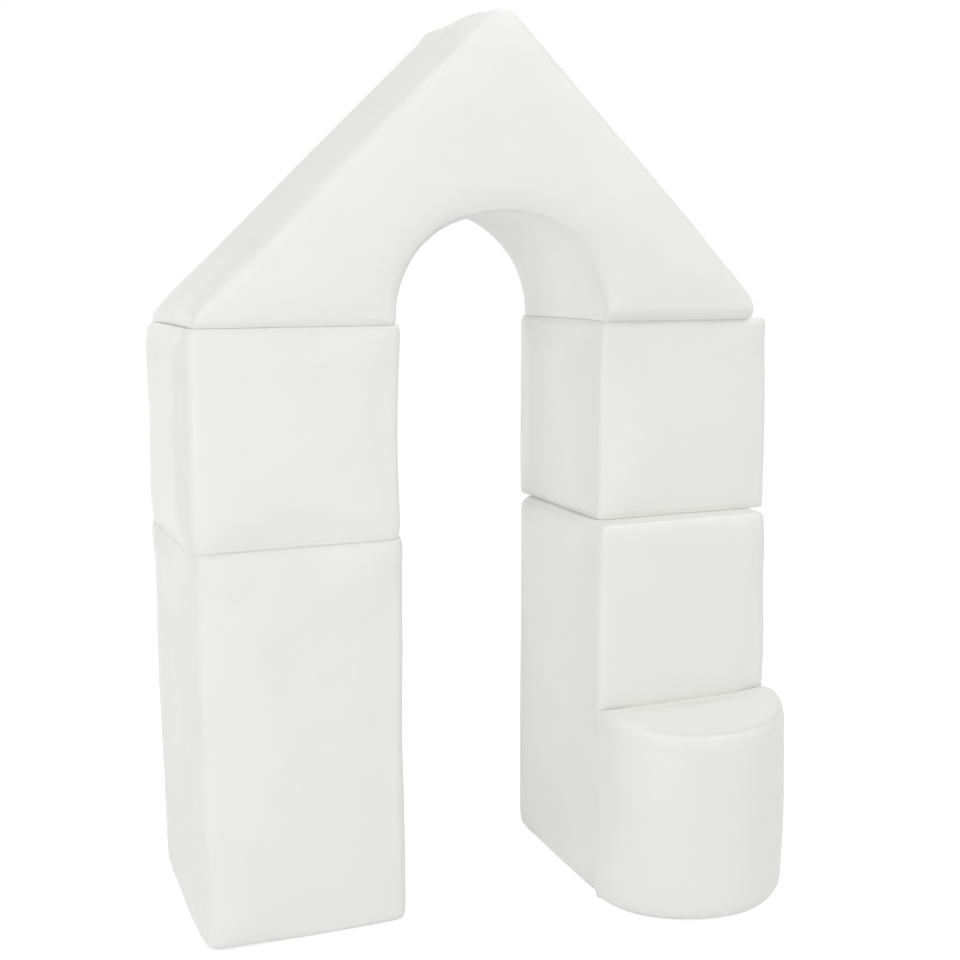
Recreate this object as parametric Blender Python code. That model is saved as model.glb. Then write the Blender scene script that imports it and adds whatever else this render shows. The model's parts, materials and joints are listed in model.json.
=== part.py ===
# A gate of six loose soft play blocks: two tall blocks, a cube on each, a roof with an arch across both
# cubes, and a half-round seat in front of the right tall block.
# Every block is a foam core in a sewn cover with a zip. Metres, +Z up, the gate's front faces -Y.

from math import atan2, cos, degrees, hypot, pi, radians, sin, tan

import bmesh
import bpy
from mathutils import Vector

# Driving sizes of the blocks
BLOCK_WIDTH = 0.300            # a cube or tall block, left to right, before its faces crown
BLOCK_DEPTH = 0.300
CUBE_HEIGHT = 0.300
TALL_HEIGHT = 0.580
UPRIGHT_EDGE_RADIUS = 0.018    # the four upright edges of a cube or tall block
ROOF_SPAN = 0.935              # tip to tip, before the tips are rounded
ROOF_RISE = 0.449              # base to ridge, before the ridge is rounded
ROOF_DEPTH = 0.300
ROOF_TIP_RADIUS = 0.016
ROOF_RIDGE_RADIUS = 0.033
ARCH_RADIUS = 0.166
ARCH_FOOT_RADIUS = 0.016
SEAT_WIDTH = 0.303
SEAT_DEPTH = 0.150
SEAT_HEIGHT = 0.300
SEAT_CORNER_RADIUS = 0.016

# Where the blocks stand, seen from above, measured from the middle of the doorway and of the roof's depth
LEFT_TALL_AT = (-0.297, 0.018)
RIGHT_TALL_AT = (0.297, -0.024)
LEFT_CUBE_AT = (-0.302, 0.010)
RIGHT_CUBE_AT = (0.318, 0.022)
ROOF_AT = (0.006, 0.000)
SEAT_X = 0.295

# Covers and cores
COVER_WALL = 0.0012
SEAM_GAP = 0.0003              # between two panels of a cover
CORE_GAP = 0.0003              # between a cover's inside and its foam
STACK_GAP = 0.0003             # between blocks that rest on or against each other
RIM_RADIUS = 0.009             # the rounded rims where a block's sides meet its end panels
CORE_RIM_EXTRA = 0.002         # the foam's rims are rounder than the cover's by this
SIDE_CROWN = 0.003             # how far a block's faces swell at their middle
SEAT_CROWN = 0.005             # how far the seat's top swells
ROOF_CROWN = 0.004             # how far the roof's front swells
CROWN_REACH = 0.080            # an end panel's crown is full this far from its edge
SEAM_DRAW = 0.0010             # the seams pull the cover in by this
EDGE_SEAM_DROP = 0.0060        # a cube's seams lie this far below its top and above its base
SEAT_SEAM_DROP = 0.0015
ROOF_SEAM_DROP = 0.0070
FOOT_SEAM_HEIGHT = 0.0035      # the seam round the roof's two foot panels
FOOT_SEAM_GAP = 0.0006

# Zips: a tape with its coil, a slider and a pull
SLOT_WIDTH = 0.024
SLOT_END_MARGIN = 0.050        # from a block's base and top to the ends of the zip's slot
ROOF_SLOT_MARGIN = 0.140       # along the roof's right slope, from its tip and from its ridge
ROOF_SLOT_INSET = 0.050        # from the right slope to the middle of the zip
SEAT_SLOT_FROM = 349           # degrees round the seat's curve, where 360 is its right flank
SEAT_SLOT_TO = 358.5
TAPE_GAP = 0.0006              # between the tape and the slot's edges
ZIP_GAP = 0.0003               # between the slider and what it runs on
COIL_WIDTH = 0.0050
COIL_TOP_WIDTH = 0.0035
COIL_HEIGHT = 0.0018
SLIDER_LENGTH = 0.0120
SLIDER_WIDTH = 0.0090
SLIDER_TOP = 0.0042            # above the tape
SLIDER_CHAMFER = 0.0009
SLIDER_STOP = 0.0040           # from the slider's end to the slot's end, at each end of its travel
BRIDGE_WIDTH = 0.0020
BRIDGE_HOLE = 0.0024           # height of the hole that the pull's bar sits in
BRIDGE_BAR = 0.0010            # thickness of the bridge's bar and posts
BRIDGE_HALF_HOLE = 0.0028      # half the length of that hole
PULL_BAR = 0.0014              # square bar that turns under the bridge, and the pull's thickness
PULL_WIDTH = 0.0070
PULL_LENGTH = 0.0300
PULL_EYE_WIDTH = 0.0034
PULL_EYE_LENGTH = 0.0076

# How finely the forms are cut
CORNER_STEPS = 2
RIM_STEPS = 2
ARCH_STEPS = 12
RIDGE_STEPS = 4
SEAT_STEPS = 11
SEAT_TOP_CUTS_ACROSS = (-0.5, 0.0, 0.5)                            # shares of half its width
SEAT_TOP_CUTS_BACK = (0.3, 0.62)                                   # shares of its depth
ROOF_FRONT_CUTS_ACROSS = (-0.75, -0.5, -0.25, 0.0, 0.25, 0.5, 0.75)  # shares of half its span
ROOF_FRONT_CUTS_UP = (0.16, 0.44, 0.66)                            # shares of its rise
SLOPE_CUTS = (0.25, 0.5, 0.75)                                     # shares of a slope's length
SIDE_CUTS = (-0.5, 0.0, 0.5)                                       # shares of half a side's length
SHARP_ANGLE = radians(40)

# Colours, roughness and metallic value
COVER_FINISH = ((0.86, 0.86, 0.84), 0.42, 0.0)
FOAM_FINISH = ((0.90, 0.88, 0.80), 0.95, 0.0)
TAPE_FINISH = ((0.88, 0.88, 0.87), 0.85, 0.0)
METAL_FINISH = ((0.72, 0.72, 0.72), 0.30, 1.0)


# Scene and materials


def clear_scene():
    for thing in list(bpy.data.objects):
        bpy.data.objects.remove(thing, do_unlink=True)


def finish(thing, look):
    colour, roughness, metallic = look
    material = bpy.data.materials.new(thing.name)
    material.use_nodes = True
    shader = material.node_tree.nodes["Principled BSDF"]
    shader.inputs["Base Color"].default_value = (*colour, 1.0)
    shader.inputs["Roughness"].default_value = roughness
    shader.inputs["Metallic"].default_value = metallic
    thing.data.materials.append(material)


def add_empty(name, parent=None, location=(0, 0, 0), rotation=(0, 0, 0)):
    empty = bpy.data.objects.new(name, None)
    bpy.context.collection.objects.link(empty)
    empty.parent = parent
    empty.location = location
    empty.rotation_euler = rotation
    return empty


def add_object(name, bm, parent, look, location=(0, 0, 0)):
    mesh = bpy.data.meshes.new(name)
    bm.to_mesh(mesh)
    bm.free()
    mesh.shade_smooth()
    mesh.set_sharp_from_angle(angle=SHARP_ANGLE)
    thing = bpy.data.objects.new(name, mesh)
    bpy.context.collection.objects.link(thing)
    thing.parent = parent
    thing.location = location
    finish(thing, look)
    return thing


# Outlines, as lists of (x, y), counterclockwise


def arc(centre, radius, start, end, steps):
    angles = [radians(start + (end - start) * i / steps) for i in range(steps + 1)]
    return [(centre[0] + radius * cos(a), centre[1] + radius * sin(a)) for a in angles]


def inset_outline(points, inset):
    """Moves every side of an outline inwards by the same amount."""
    result = []
    for i, point in enumerate(points):
        before = (Vector(point) - Vector(points[i - 1])).normalized()
        after = (Vector(points[(i + 1) % len(points)]) - Vector(point)).normalized()
        inward = Vector((-before.y - after.y, before.x + after.x)).normalized()
        across = inward.dot(Vector((-before.y, before.x)))
        result.append(tuple(Vector(point) + inward * inset / across))
    return result


def block_outline():
    """A square with rounded corners, points along its sides for the crown, the slot's edges at its back."""
    half_x = BLOCK_WIDTH / 2
    half_y = BLOCK_DEPTH / 2
    radius = UPRIGHT_EDGE_RADIUS
    slot = SLOT_WIDTH / 2
    points = arc((half_x - radius, half_y - radius), radius, 0, 90, CORNER_STEPS)
    points += [(slot, half_y), (-slot, half_y)]
    points += arc((radius - half_x, half_y - radius), radius, 90, 180, CORNER_STEPS)
    points += [(-half_x, -share * half_y) for share in SIDE_CUTS]
    points += arc((radius - half_x, radius - half_y), radius, 180, 270, CORNER_STEPS)
    points += [(share * half_x, -half_y) for share in SIDE_CUTS]
    points += arc((half_x - radius, radius - half_y), radius, 270, 360, CORNER_STEPS)
    points += [(half_x, share * half_y) for share in SIDE_CUTS]
    return points


def seat_outline():
    """A half-round: its flat back lies on the X axis, and its curve bulges towards -Y."""
    half_x = SEAT_WIDTH / 2
    reach = SEAT_DEPTH - SEAT_CORNER_RADIUS
    radius = SEAT_CORNER_RADIUS
    back = -SEAT_CORNER_RADIUS
    points = arc((half_x - radius, back), radius, 0, 90, CORNER_STEPS)
    points += arc((radius - half_x, back), radius, 90, 180, CORNER_STEPS)
    turns = [180 + (SEAT_SLOT_FROM - 180) * i / SEAT_STEPS for i in range(1, SEAT_STEPS + 1)]
    for turn in turns + [SEAT_SLOT_TO]:
        points.append((half_x * cos(radians(turn)), back + reach * sin(radians(turn))))
    return points


def roof_angle():
    return atan2(ROOF_RISE, ROOF_SPAN / 2)


def roof_outline():
    """The roof's front, drawn upright: rounded tips and ridge, and a half-round arch cut into the base."""
    slope = degrees(roof_angle())
    tip_x = ROOF_SPAN / 2 - ROOF_TIP_RADIUS / tan(roof_angle() / 2)
    ridge_y = ROOF_RISE - ROOF_RIDGE_RADIUS / cos(roof_angle())
    foot_x = ((ARCH_RADIUS + ARCH_FOOT_RADIUS) ** 2 - ARCH_FOOT_RADIUS**2) ** 0.5
    lean = degrees(atan2(ARCH_FOOT_RADIUS, foot_x))
    points = arc((tip_x, ROOF_TIP_RADIUS), ROOF_TIP_RADIUS, -90, 90 - slope, CORNER_STEPS)
    points += arc((0, ridge_y), ROOF_RIDGE_RADIUS, 90 - slope, 90 + slope, RIDGE_STEPS)
    points += arc((-tip_x, ROOF_TIP_RADIUS), ROOF_TIP_RADIUS, 90 + slope, 270, CORNER_STEPS)
    points += arc((-foot_x, ARCH_FOOT_RADIUS), ARCH_FOOT_RADIUS, -90, -lean, CORNER_STEPS)
    points += arc((0, 0), ARCH_RADIUS, 180 - lean, lean, ARCH_STEPS)[1:-1]
    points += arc((foot_x, ARCH_FOOT_RADIUS), ARCH_FOOT_RADIUS, 180 + lean, 270, CORNER_STEPS)
    return with_slope_points(points)


def with_slope_points(points):
    """Adds points along the two long slopes, so that they can crown."""
    result = []
    for i, point in enumerate(points):
        result.append(point)
        after = points[(i + 1) % len(points)]
        if hypot(after[0] - point[0], after[1] - point[1]) > ROOF_RISE / 2:
            for share in SLOPE_CUTS:
                result.append(tuple(a + (b - a) * share for a, b in zip(point, after)))
    return result


# Forms: an outline drawn upwards into a closed block with rounded rims, then crowned


def cut(bm, point, normal, clear_outer=False, clear_inner=False, geom=None):
    geom = geom or bm.verts[:] + bm.edges[:] + bm.faces[:]
    bmesh.ops.bisect_plane(
        bm,
        geom=geom,
        dist=1e-7,
        plane_co=point,
        plane_no=normal,
        clear_outer=clear_outer,
        clear_inner=clear_inner,
    )


def raise_form(outline, height, inset, rim, levels):
    """A closed block over an outline, inset all round, its rims rounded, with loops at the levels."""
    low, high = inset, height - inset
    outline = inset_outline(outline, inset)
    bm = bmesh.new()
    base = bm.faces.new([bm.verts.new((x, y, low)) for x, y in outline])
    grown = bmesh.ops.extrude_face_region(bm, geom=[base])["geom"]
    top = [part for part in grown if isinstance(part, bmesh.types.BMVert)]
    bmesh.ops.translate(bm, verts=top, vec=(0, 0, high - low))
    bmesh.ops.recalc_face_normals(bm, faces=bm.faces)
    rims = [edge for edge in bm.edges if abs(edge.verts[0].co.z - edge.verts[1].co.z) < 1e-6]
    bmesh.ops.bevel(
        bm,
        geom=rims,
        offset=rim,
        offset_type="OFFSET",
        segments=RIM_STEPS,
        profile=0.5,
        affect="EDGES",
        material=-1,
    )
    for level in levels:
        cut(bm, (0, 0, level), (0, 0, 1))
    return bm


def rise_share(z, low, high):
    """1 at the middle of a side's height, 0 at its rims."""
    middle = (low + high) / 2
    half = (high - low) / 2
    share = min(1.0, abs(z - middle) / half)
    return 1 - share * share


def crown_block(bm, low, high):
    """Front, left and right swell. The back stays flat for its zip."""
    half_x = BLOCK_WIDTH / 2
    half_y = BLOCK_DEPTH / 2
    for vert in bm.verts:
        x, y, z = vert.co
        across = min(1.0, abs(x) / half_x)
        along = min(1.0, abs(y) / half_y)
        swell = SIDE_CROWN * rise_share(z, low, high)
        vert.co.x += (1 if x > 0 else -1) * swell * across**4 * (1 - along**2)
        if y < 0:
            vert.co.y -= swell * along**4 * (1 - across**2)


def crown_seat(bm, low, high):
    """The curved side swells towards its front, and stays straight where its zip is."""
    reach = SEAT_DEPTH - SEAT_CORNER_RADIUS
    flank = sin(radians(360 - SEAT_SLOT_FROM))
    for vert in bm.verts:
        x, y, z = vert.co
        forward = -(y + SEAT_CORNER_RADIUS) / reach
        share = max(0.0, (forward - flank) / (1 - flank))
        outward = Vector((x, y + SEAT_CORNER_RADIUS, 0)).normalized()
        vert.co += outward * SIDE_CROWN * share**0.5 * rise_share(z, low, high)


def seat_edge_distance(x, y):
    """How far a point is from the seat's outline, seen from above."""
    curve = SEAT_WIDTH / 2 - hypot(x, y + SEAT_CORNER_RADIUS)
    return max(0.0, min(-y, curve))


def slope_distance(x, y):
    """How far a point is from the nearer slope, before the ridge and tips are rounded."""
    return (ROOF_RISE - y - abs(x) * tan(roof_angle())) * cos(roof_angle())


def roof_edge_distance(x, y):
    """How far a point is from the roof's outline, seen from its front."""
    arch = hypot(x, y) - ARCH_RADIUS
    return max(0.0, min(slope_distance(x, y), arch, y))


def swell_end(bm, height, crown, distance):
    """The end panel at this height swells away from its edges."""
    for vert in bm.verts:
        if abs(vert.co.z - height) < 1e-5:
            share = min(1.0, distance(vert.co.x, vert.co.y) / CROWN_REACH)
            vert.co.z += crown * (1 - (1 - share) ** 2)


def end_face(bm, height):
    flat = [face for face in bm.faces if all(abs(v.co.z - height) < 1e-6 for v in face.verts)]
    edges = {edge for face in flat for edge in face.edges}
    verts = {vert for face in flat for vert in face.verts}
    return list(verts) + list(edges) + flat


def block_form(height, inset, rim):
    slot = (height - 2 * SLOT_END_MARGIN) / 3
    levels = [SLOT_END_MARGIN + slot * i for i in range(4)]
    bm = raise_form(block_outline(), height, inset, rim, levels)
    crown_block(bm, inset, height - inset)
    return bm


def seat_form(inset, rim, crown):
    slot = (SEAT_HEIGHT - 2 * SLOT_END_MARGIN) / 3
    levels = [SLOT_END_MARGIN + slot * i for i in range(4)]
    bm = raise_form(seat_outline(), SEAT_HEIGHT, inset, rim, levels)
    crown_seat(bm, inset, SEAT_HEIGHT - inset)
    for share in SEAT_TOP_CUTS_ACROSS:
        cut(bm, (share * SEAT_WIDTH / 2, 0, 0), (1, 0, 0), geom=end_face(bm, SEAT_HEIGHT - inset))
    for share in SEAT_TOP_CUTS_BACK:
        cut(bm, (0, -share * SEAT_DEPTH, 0), (0, 1, 0), geom=end_face(bm, SEAT_HEIGHT - inset))
    swell_end(bm, SEAT_HEIGHT - inset, crown, seat_edge_distance)
    return bm


def roof_form(inset, rim, crown):
    """Drawn lying on its back: local Y is up, and local Z runs from the roof's back to its front."""
    bm = raise_form(roof_outline(), ROOF_DEPTH, inset, rim, [ROOF_DEPTH / 3, ROOF_DEPTH * 2 / 3])
    angle = roof_angle()
    length = hypot(ROOF_SPAN / 2, ROOF_RISE)
    for vert in bm.verts:
        x, y, z = vert.co
        if slope_distance(x, y) < ROOF_TIP_RADIUS:
            along = 2 * y / sin(angle) / length - 1
            swell = SIDE_CROWN * max(0.0, 1 - along**2) * rise_share(z, inset, ROOF_DEPTH - inset)
            vert.co.x += (1 if x > 0 else -1) * swell * sin(angle)
            vert.co.y += swell * cos(angle)
    front = ROOF_DEPTH - inset
    for share in ROOF_FRONT_CUTS_ACROSS:
        cut(bm, (share * ROOF_SPAN / 2, 0, 0), (1, 0, 0), geom=end_face(bm, front))
    for share in ROOF_FRONT_CUTS_UP:
        cut(bm, (0, share * ROOF_RISE, 0), (0, 1, 0), geom=end_face(bm, front))
    swell_end(bm, front, crown, roof_edge_distance)
    return bm


# Covers: the form is cut along its seams into sheets, and each sheet is thickened inwards


def draw_in(bm, height):
    """Pulls the cover in along the cut at this height, as a seam does."""
    bm.normal_update()
    edge = [vert for vert in bm.verts if abs(vert.co.z - height) < 1e-6]
    moves = [(vert, vert.normal.copy()) for vert in edge]
    for vert, normal in moves:
        vert.co -= normal * SEAM_DRAW
        vert.co.z = height


def sheet_between(form, low, high):
    """The part of a form between two heights, with half a seam's gap left at each cut."""
    bm = form.copy()
    if low is not None:
        cut(bm, (0, 0, low + SEAM_GAP / 2), (0, 0, 1), clear_inner=True)
        draw_in(bm, low + SEAM_GAP / 2)
    if high is not None:
        cut(bm, (0, 0, high - SEAM_GAP / 2), (0, 0, 1), clear_outer=True)
        draw_in(bm, high - SEAM_GAP / 2)
    return bm


def open_slot(bm, first, second, low, high):
    """Takes the band's faces away between two points of its outline and two heights."""
    a, b = Vector(first), Vector(second)
    across = (b - a).normalized()
    doomed = []
    for face in bm.faces:
        centre = face.calc_center_median()
        offset = Vector((centre.x, centre.y)) - a
        sideways = offset.dot(across)
        depth = abs(offset.x * across.y - offset.y * across.x)
        if depth < COVER_WALL and 0 < sideways < (b - a).length and low < centre.z < high:
            doomed.append(face)
    bmesh.ops.delete(bm, geom=doomed, context="FACES")


def add_cover(name, bm, parent):
    thing = add_object(name, bm, parent, COVER_FINISH)
    wall = thing.modifiers.new("wall", "SOLIDIFY")
    wall.thickness = COVER_WALL
    wall.offset = -1
    wall.use_even_offset = True
    return thing


# Zips, in a frame of their own: X across the tape, Y out of the cover, Z along the zip


def prism(outline, length, axis_map):
    """A closed solid over a flat outline. axis_map turns (u, v, w) into x, y, z."""
    bm = bmesh.new()
    base = bm.faces.new([bm.verts.new(axis_map(u, v, 0)) for u, v in outline])
    grown = bmesh.ops.extrude_face_region(bm, geom=[base])["geom"]
    top = [part for part in grown if isinstance(part, bmesh.types.BMVert)]
    step = Vector(axis_map(0, 0, length)) - Vector(axis_map(0, 0, 0))
    bmesh.ops.translate(bm, verts=top, vec=step)
    bmesh.ops.recalc_face_normals(bm, faces=bm.faces)
    return bm


def add_tool(name, bm, parent):
    """A shape that another is joined to or cut by, kept out of the model itself."""
    mesh = bpy.data.meshes.new(name)
    bm.to_mesh(mesh)
    bm.free()
    tool = bpy.data.objects.new(name, mesh)
    bpy.context.collection.objects.link(tool)
    tool.parent = parent
    tool.hide_render = True
    tool.display_type = "WIRE"
    return tool


def combine(thing, tool, operation):
    boolean = thing.modifiers.new(operation.lower(), "BOOLEAN")
    boolean.operation = operation
    boolean.solver = "EXACT"
    boolean.object = tool


def tape_outline(width):
    half = width / 2 - TAPE_GAP
    coil = COIL_WIDTH / 2
    return [
        (-half, -COVER_WALL),
        (half, -COVER_WALL),
        (half, 0),
        (coil, 0),
        (COIL_TOP_WIDTH / 2, COIL_HEIGHT),
        (-COIL_TOP_WIDTH / 2, COIL_HEIGHT),
        (-coil, 0),
        (-half, 0),
    ]


def slider_outline():
    half = SLIDER_WIDTH / 2
    channel = COIL_WIDTH / 2 + ZIP_GAP
    channel_top = COIL_TOP_WIDTH / 2 + ZIP_GAP
    return [
        (-half, ZIP_GAP),
        (-channel, ZIP_GAP),
        (-channel_top, COIL_HEIGHT + ZIP_GAP),
        (channel_top, COIL_HEIGHT + ZIP_GAP),
        (channel, ZIP_GAP),
        (half, ZIP_GAP),
        (half, SLIDER_TOP - SLIDER_CHAMFER),
        (half - SLIDER_CHAMFER, SLIDER_TOP),
        (SLIDER_CHAMFER - half, SLIDER_TOP),
        (-half, SLIDER_TOP - SLIDER_CHAMFER),
    ]


def bridge_outline():
    """The bridge over the pull's bar, seen from its side: pairs of (out, along)."""
    foot = SLIDER_TOP - BRIDGE_BAR / 2
    under = SLIDER_TOP + BRIDGE_HOLE
    over = under + BRIDGE_BAR
    inner = BRIDGE_HALF_HOLE
    outer = inner + BRIDGE_BAR
    chamfer = BRIDGE_BAR / 2
    return [
        (foot, -outer),
        (over - chamfer, -outer),
        (over, chamfer - outer),
        (over, outer - chamfer),
        (over - chamfer, outer),
        (foot, outer),
        (foot, inner),
        (under, inner),
        (under, -inner),
        (foot, -inner),
    ]


def pull_outline():
    """The pull hanging from its bar: pairs of (across, along), with a rounded lower end."""
    half = PULL_WIDTH / 2
    top = PULL_BAR / 2
    low = top - PULL_LENGTH
    return arc((0, low + half), half, 180, 360, 6) + [(half, top), (-half, top)]


def add_zip(prefix, parent, location, rotation, width, length):
    frame = add_empty(prefix + "_zip_frame", parent, location, rotation)
    tape = prism(tape_outline(width), length - 2 * TAPE_GAP, lambda u, v, w: (u, v, w + TAPE_GAP))
    add_object(prefix + "_zip", tape, frame, TAPE_FINISH)
    middle = length - SLIDER_STOP - SLIDER_LENGTH / 2
    half_length = SLIDER_LENGTH / 2
    body = prism(slider_outline(), SLIDER_LENGTH, lambda u, v, w: (u, v, w - half_length))
    slider = add_object(prefix + "_zip_slider", body, frame, METAL_FINISH, (0, 0, middle))
    half_bridge = BRIDGE_WIDTH / 2
    bar = prism(bridge_outline(), BRIDGE_WIDTH, lambda u, v, w: (w - half_bridge, u, v))
    bridge = add_tool(prefix + "_bridge_shape", bar, slider)
    combine(slider, bridge, "UNION")
    hinge = (0, SLIDER_TOP + BRIDGE_HOLE / 2, middle)
    tab = prism(pull_outline(), PULL_BAR, lambda u, v, w: (u, w - PULL_BAR / 2, v))
    pull = add_object(prefix + "_zip_pull", tab, frame, METAL_FINISH, hinge)
    eye_low = -PULL_BAR / 2 - PULL_EYE_LENGTH
    half_eye = PULL_EYE_WIDTH / 2
    eye_outline = [
        (-half_eye, eye_low),
        (half_eye, eye_low),
        (half_eye, -PULL_BAR / 2),
        (-half_eye, -PULL_BAR / 2),
    ]
    hole = prism(eye_outline, 3 * PULL_BAR, lambda u, v, w: (u, w - 1.5 * PULL_BAR, v))
    eye = add_tool(prefix + "_eye_shape", hole, pull)
    combine(pull, eye, "DIFFERENCE")
    return slider, pull


# The six blocks


def add_box_block(prefix, parent, height):
    form = block_form(height, 0, RIM_RADIUS)
    drop = EDGE_SEAM_DROP
    add_cover(prefix + "_base_panel", sheet_between(form, None, drop), parent)
    add_cover(prefix + "_top_panel", sheet_between(form, height - drop, None), parent)
    band = sheet_between(form, drop, height - drop)
    slot_x = SLOT_WIDTH / 2
    back = BLOCK_DEPTH / 2
    open_slot(band, (slot_x, back), (-slot_x, back), SLOT_END_MARGIN, height - SLOT_END_MARGIN)
    add_cover(prefix + "_side_band", band, parent)
    form.free()
    inset = COVER_WALL + CORE_GAP
    add_object(prefix + "_core", block_form(height, inset, RIM_RADIUS + CORE_RIM_EXTRA), parent, FOAM_FINISH)
    place = (0, back, SLOT_END_MARGIN)
    return add_zip(prefix, parent, place, (0, 0, 0), SLOT_WIDTH, height - 2 * SLOT_END_MARGIN)


def add_seat(prefix, parent):
    form = seat_form(0, RIM_RADIUS, SEAT_CROWN)
    drop = SEAT_SEAM_DROP
    add_cover(prefix + "_base_panel", sheet_between(form, None, drop), parent)
    add_cover(prefix + "_top_panel", sheet_between(form, SEAT_HEIGHT - drop, None), parent)
    band = sheet_between(form, drop, SEAT_HEIGHT - drop)
    low, high = [Vector(point) for point in seat_outline()[-2:]]
    open_slot(band, low, high, SLOT_END_MARGIN, SEAT_HEIGHT - SLOT_END_MARGIN)
    add_cover(prefix + "_side_band", band, parent)
    form.free()
    inset = COVER_WALL + CORE_GAP
    add_object(prefix + "_core", seat_form(inset, RIM_RADIUS + CORE_RIM_EXTRA, 0), parent, FOAM_FINISH)
    middle = (low + high) / 2
    turn = atan2(high.y - low.y, high.x - low.x) - pi
    place = (middle.x, middle.y, SLOT_END_MARGIN)
    length = SEAT_HEIGHT - 2 * SLOT_END_MARGIN
    return add_zip(prefix, parent, place, (0, 0, turn), (high - low).length, length)


def roof_slot():
    """The middle of the zip's lower end, its direction up the right slope, and its length."""
    up = Vector((-cos(roof_angle()), sin(roof_angle())))
    inward = Vector((-sin(roof_angle()), -cos(roof_angle())))
    start = Vector((ROOF_SPAN / 2, 0)) + up * ROOF_SLOT_MARGIN + inward * ROOF_SLOT_INSET
    return start, up, inward, hypot(ROOF_SPAN / 2, ROOF_RISE) - 2 * ROOF_SLOT_MARGIN


def cut_roof_slot(bm):
    """Opens the back panel for the zip."""
    start, up, inward, length = roof_slot()
    half = inward * SLOT_WIDTH / 2
    sides = ((start + half, inward), (start - half, inward), (start, up), (start + up * length, up))
    for point, normal in sides:
        cut(bm, (*point, 0), (*normal, 0), geom=end_face(bm, 0))
    doomed = []
    for face in bm.faces:
        centre = face.calc_center_median()
        offset = Vector((centre.x, centre.y)) - start
        if centre.z < COVER_WALL and abs(offset.dot(inward)) < SLOT_WIDTH / 2 and 0 < offset.dot(up) < length:
            doomed.append(face)
    bmesh.ops.delete(bm, geom=doomed, context="FACES")


def add_roof(prefix, parent):
    """Drawn with local Z from back to front, so it hangs from a frame that turns that way."""
    frame = add_empty(prefix + "_frame", parent, (0, ROOF_DEPTH / 2, 0), (pi / 2, 0, 0))
    form = roof_form(0, RIM_RADIUS, ROOF_CROWN)
    drop = ROOF_SEAM_DROP
    back = sheet_between(form, None, drop)
    cut_roof_slot(back)
    add_cover(prefix + "_back_panel", back, frame)
    add_cover(prefix + "_front_panel", sheet_between(form, ROOF_DEPTH - drop, None), frame)
    band = sheet_between(form, drop, ROOF_DEPTH - drop)
    form.free()
    above = band.copy()
    cut(above, (0, FOOT_SEAM_HEIGHT + FOOT_SEAM_GAP / 2, 0), (0, 1, 0), clear_inner=True)
    below = band
    cut(below, (0, FOOT_SEAM_HEIGHT - FOOT_SEAM_GAP / 2, 0), (0, 1, 0), clear_outer=True)
    arch_line = ARCH_RADIUS + 2 * ARCH_FOOT_RADIUS
    strips = {
        "_slope_cover": (above, lambda c: hypot(c.x, c.y) > arch_line),
        "_arch_lining": (above, lambda c: hypot(c.x, c.y) < arch_line),
        "_left_foot_panel": (below, lambda c: c.x < 0),
        "_right_foot_panel": (below, lambda c: c.x > 0),
    }
    for ending, (source, belongs) in strips.items():
        strip = source.copy()
        others = [face for face in strip.faces if not belongs(face.calc_center_median())]
        bmesh.ops.delete(strip, geom=others, context="FACES")
        add_cover(prefix + ending, strip, frame)
    above.free()
    below.free()
    inset = COVER_WALL + CORE_GAP
    add_object(prefix + "_core", roof_form(inset, RIM_RADIUS + CORE_RIM_EXTRA, 0), frame, FOAM_FINISH)
    start, up, _, length = roof_slot()
    lean = atan2(up.x, up.y)
    place = (start.x, ROOF_DEPTH / 2, start.y)
    return add_zip(prefix, parent, place, (0, lean, 0), SLOT_WIDTH, length)


def gate_middle():
    """The middle of the whole gate's footprint, so that the model's origin lies there."""
    half = BLOCK_WIDTH / 2
    left = min(LEFT_TALL_AT[0], LEFT_CUBE_AT[0]) - half
    right = max(RIGHT_TALL_AT[0], RIGHT_CUBE_AT[0]) + half
    zip_height = SLIDER_TOP + BRIDGE_HOLE + BRIDGE_BAR
    middles = (LEFT_TALL_AT[1], RIGHT_TALL_AT[1], LEFT_CUBE_AT[1], RIGHT_CUBE_AT[1])
    back = max(middles) + BLOCK_DEPTH / 2 + zip_height
    front = seat_back() - SEAT_DEPTH - SIDE_CROWN
    return Vector(((left + right) / 2, (front + back) / 2, 0))


def seat_back():
    return RIGHT_TALL_AT[1] - BLOCK_DEPTH / 2 - SIDE_CROWN - STACK_GAP


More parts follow.
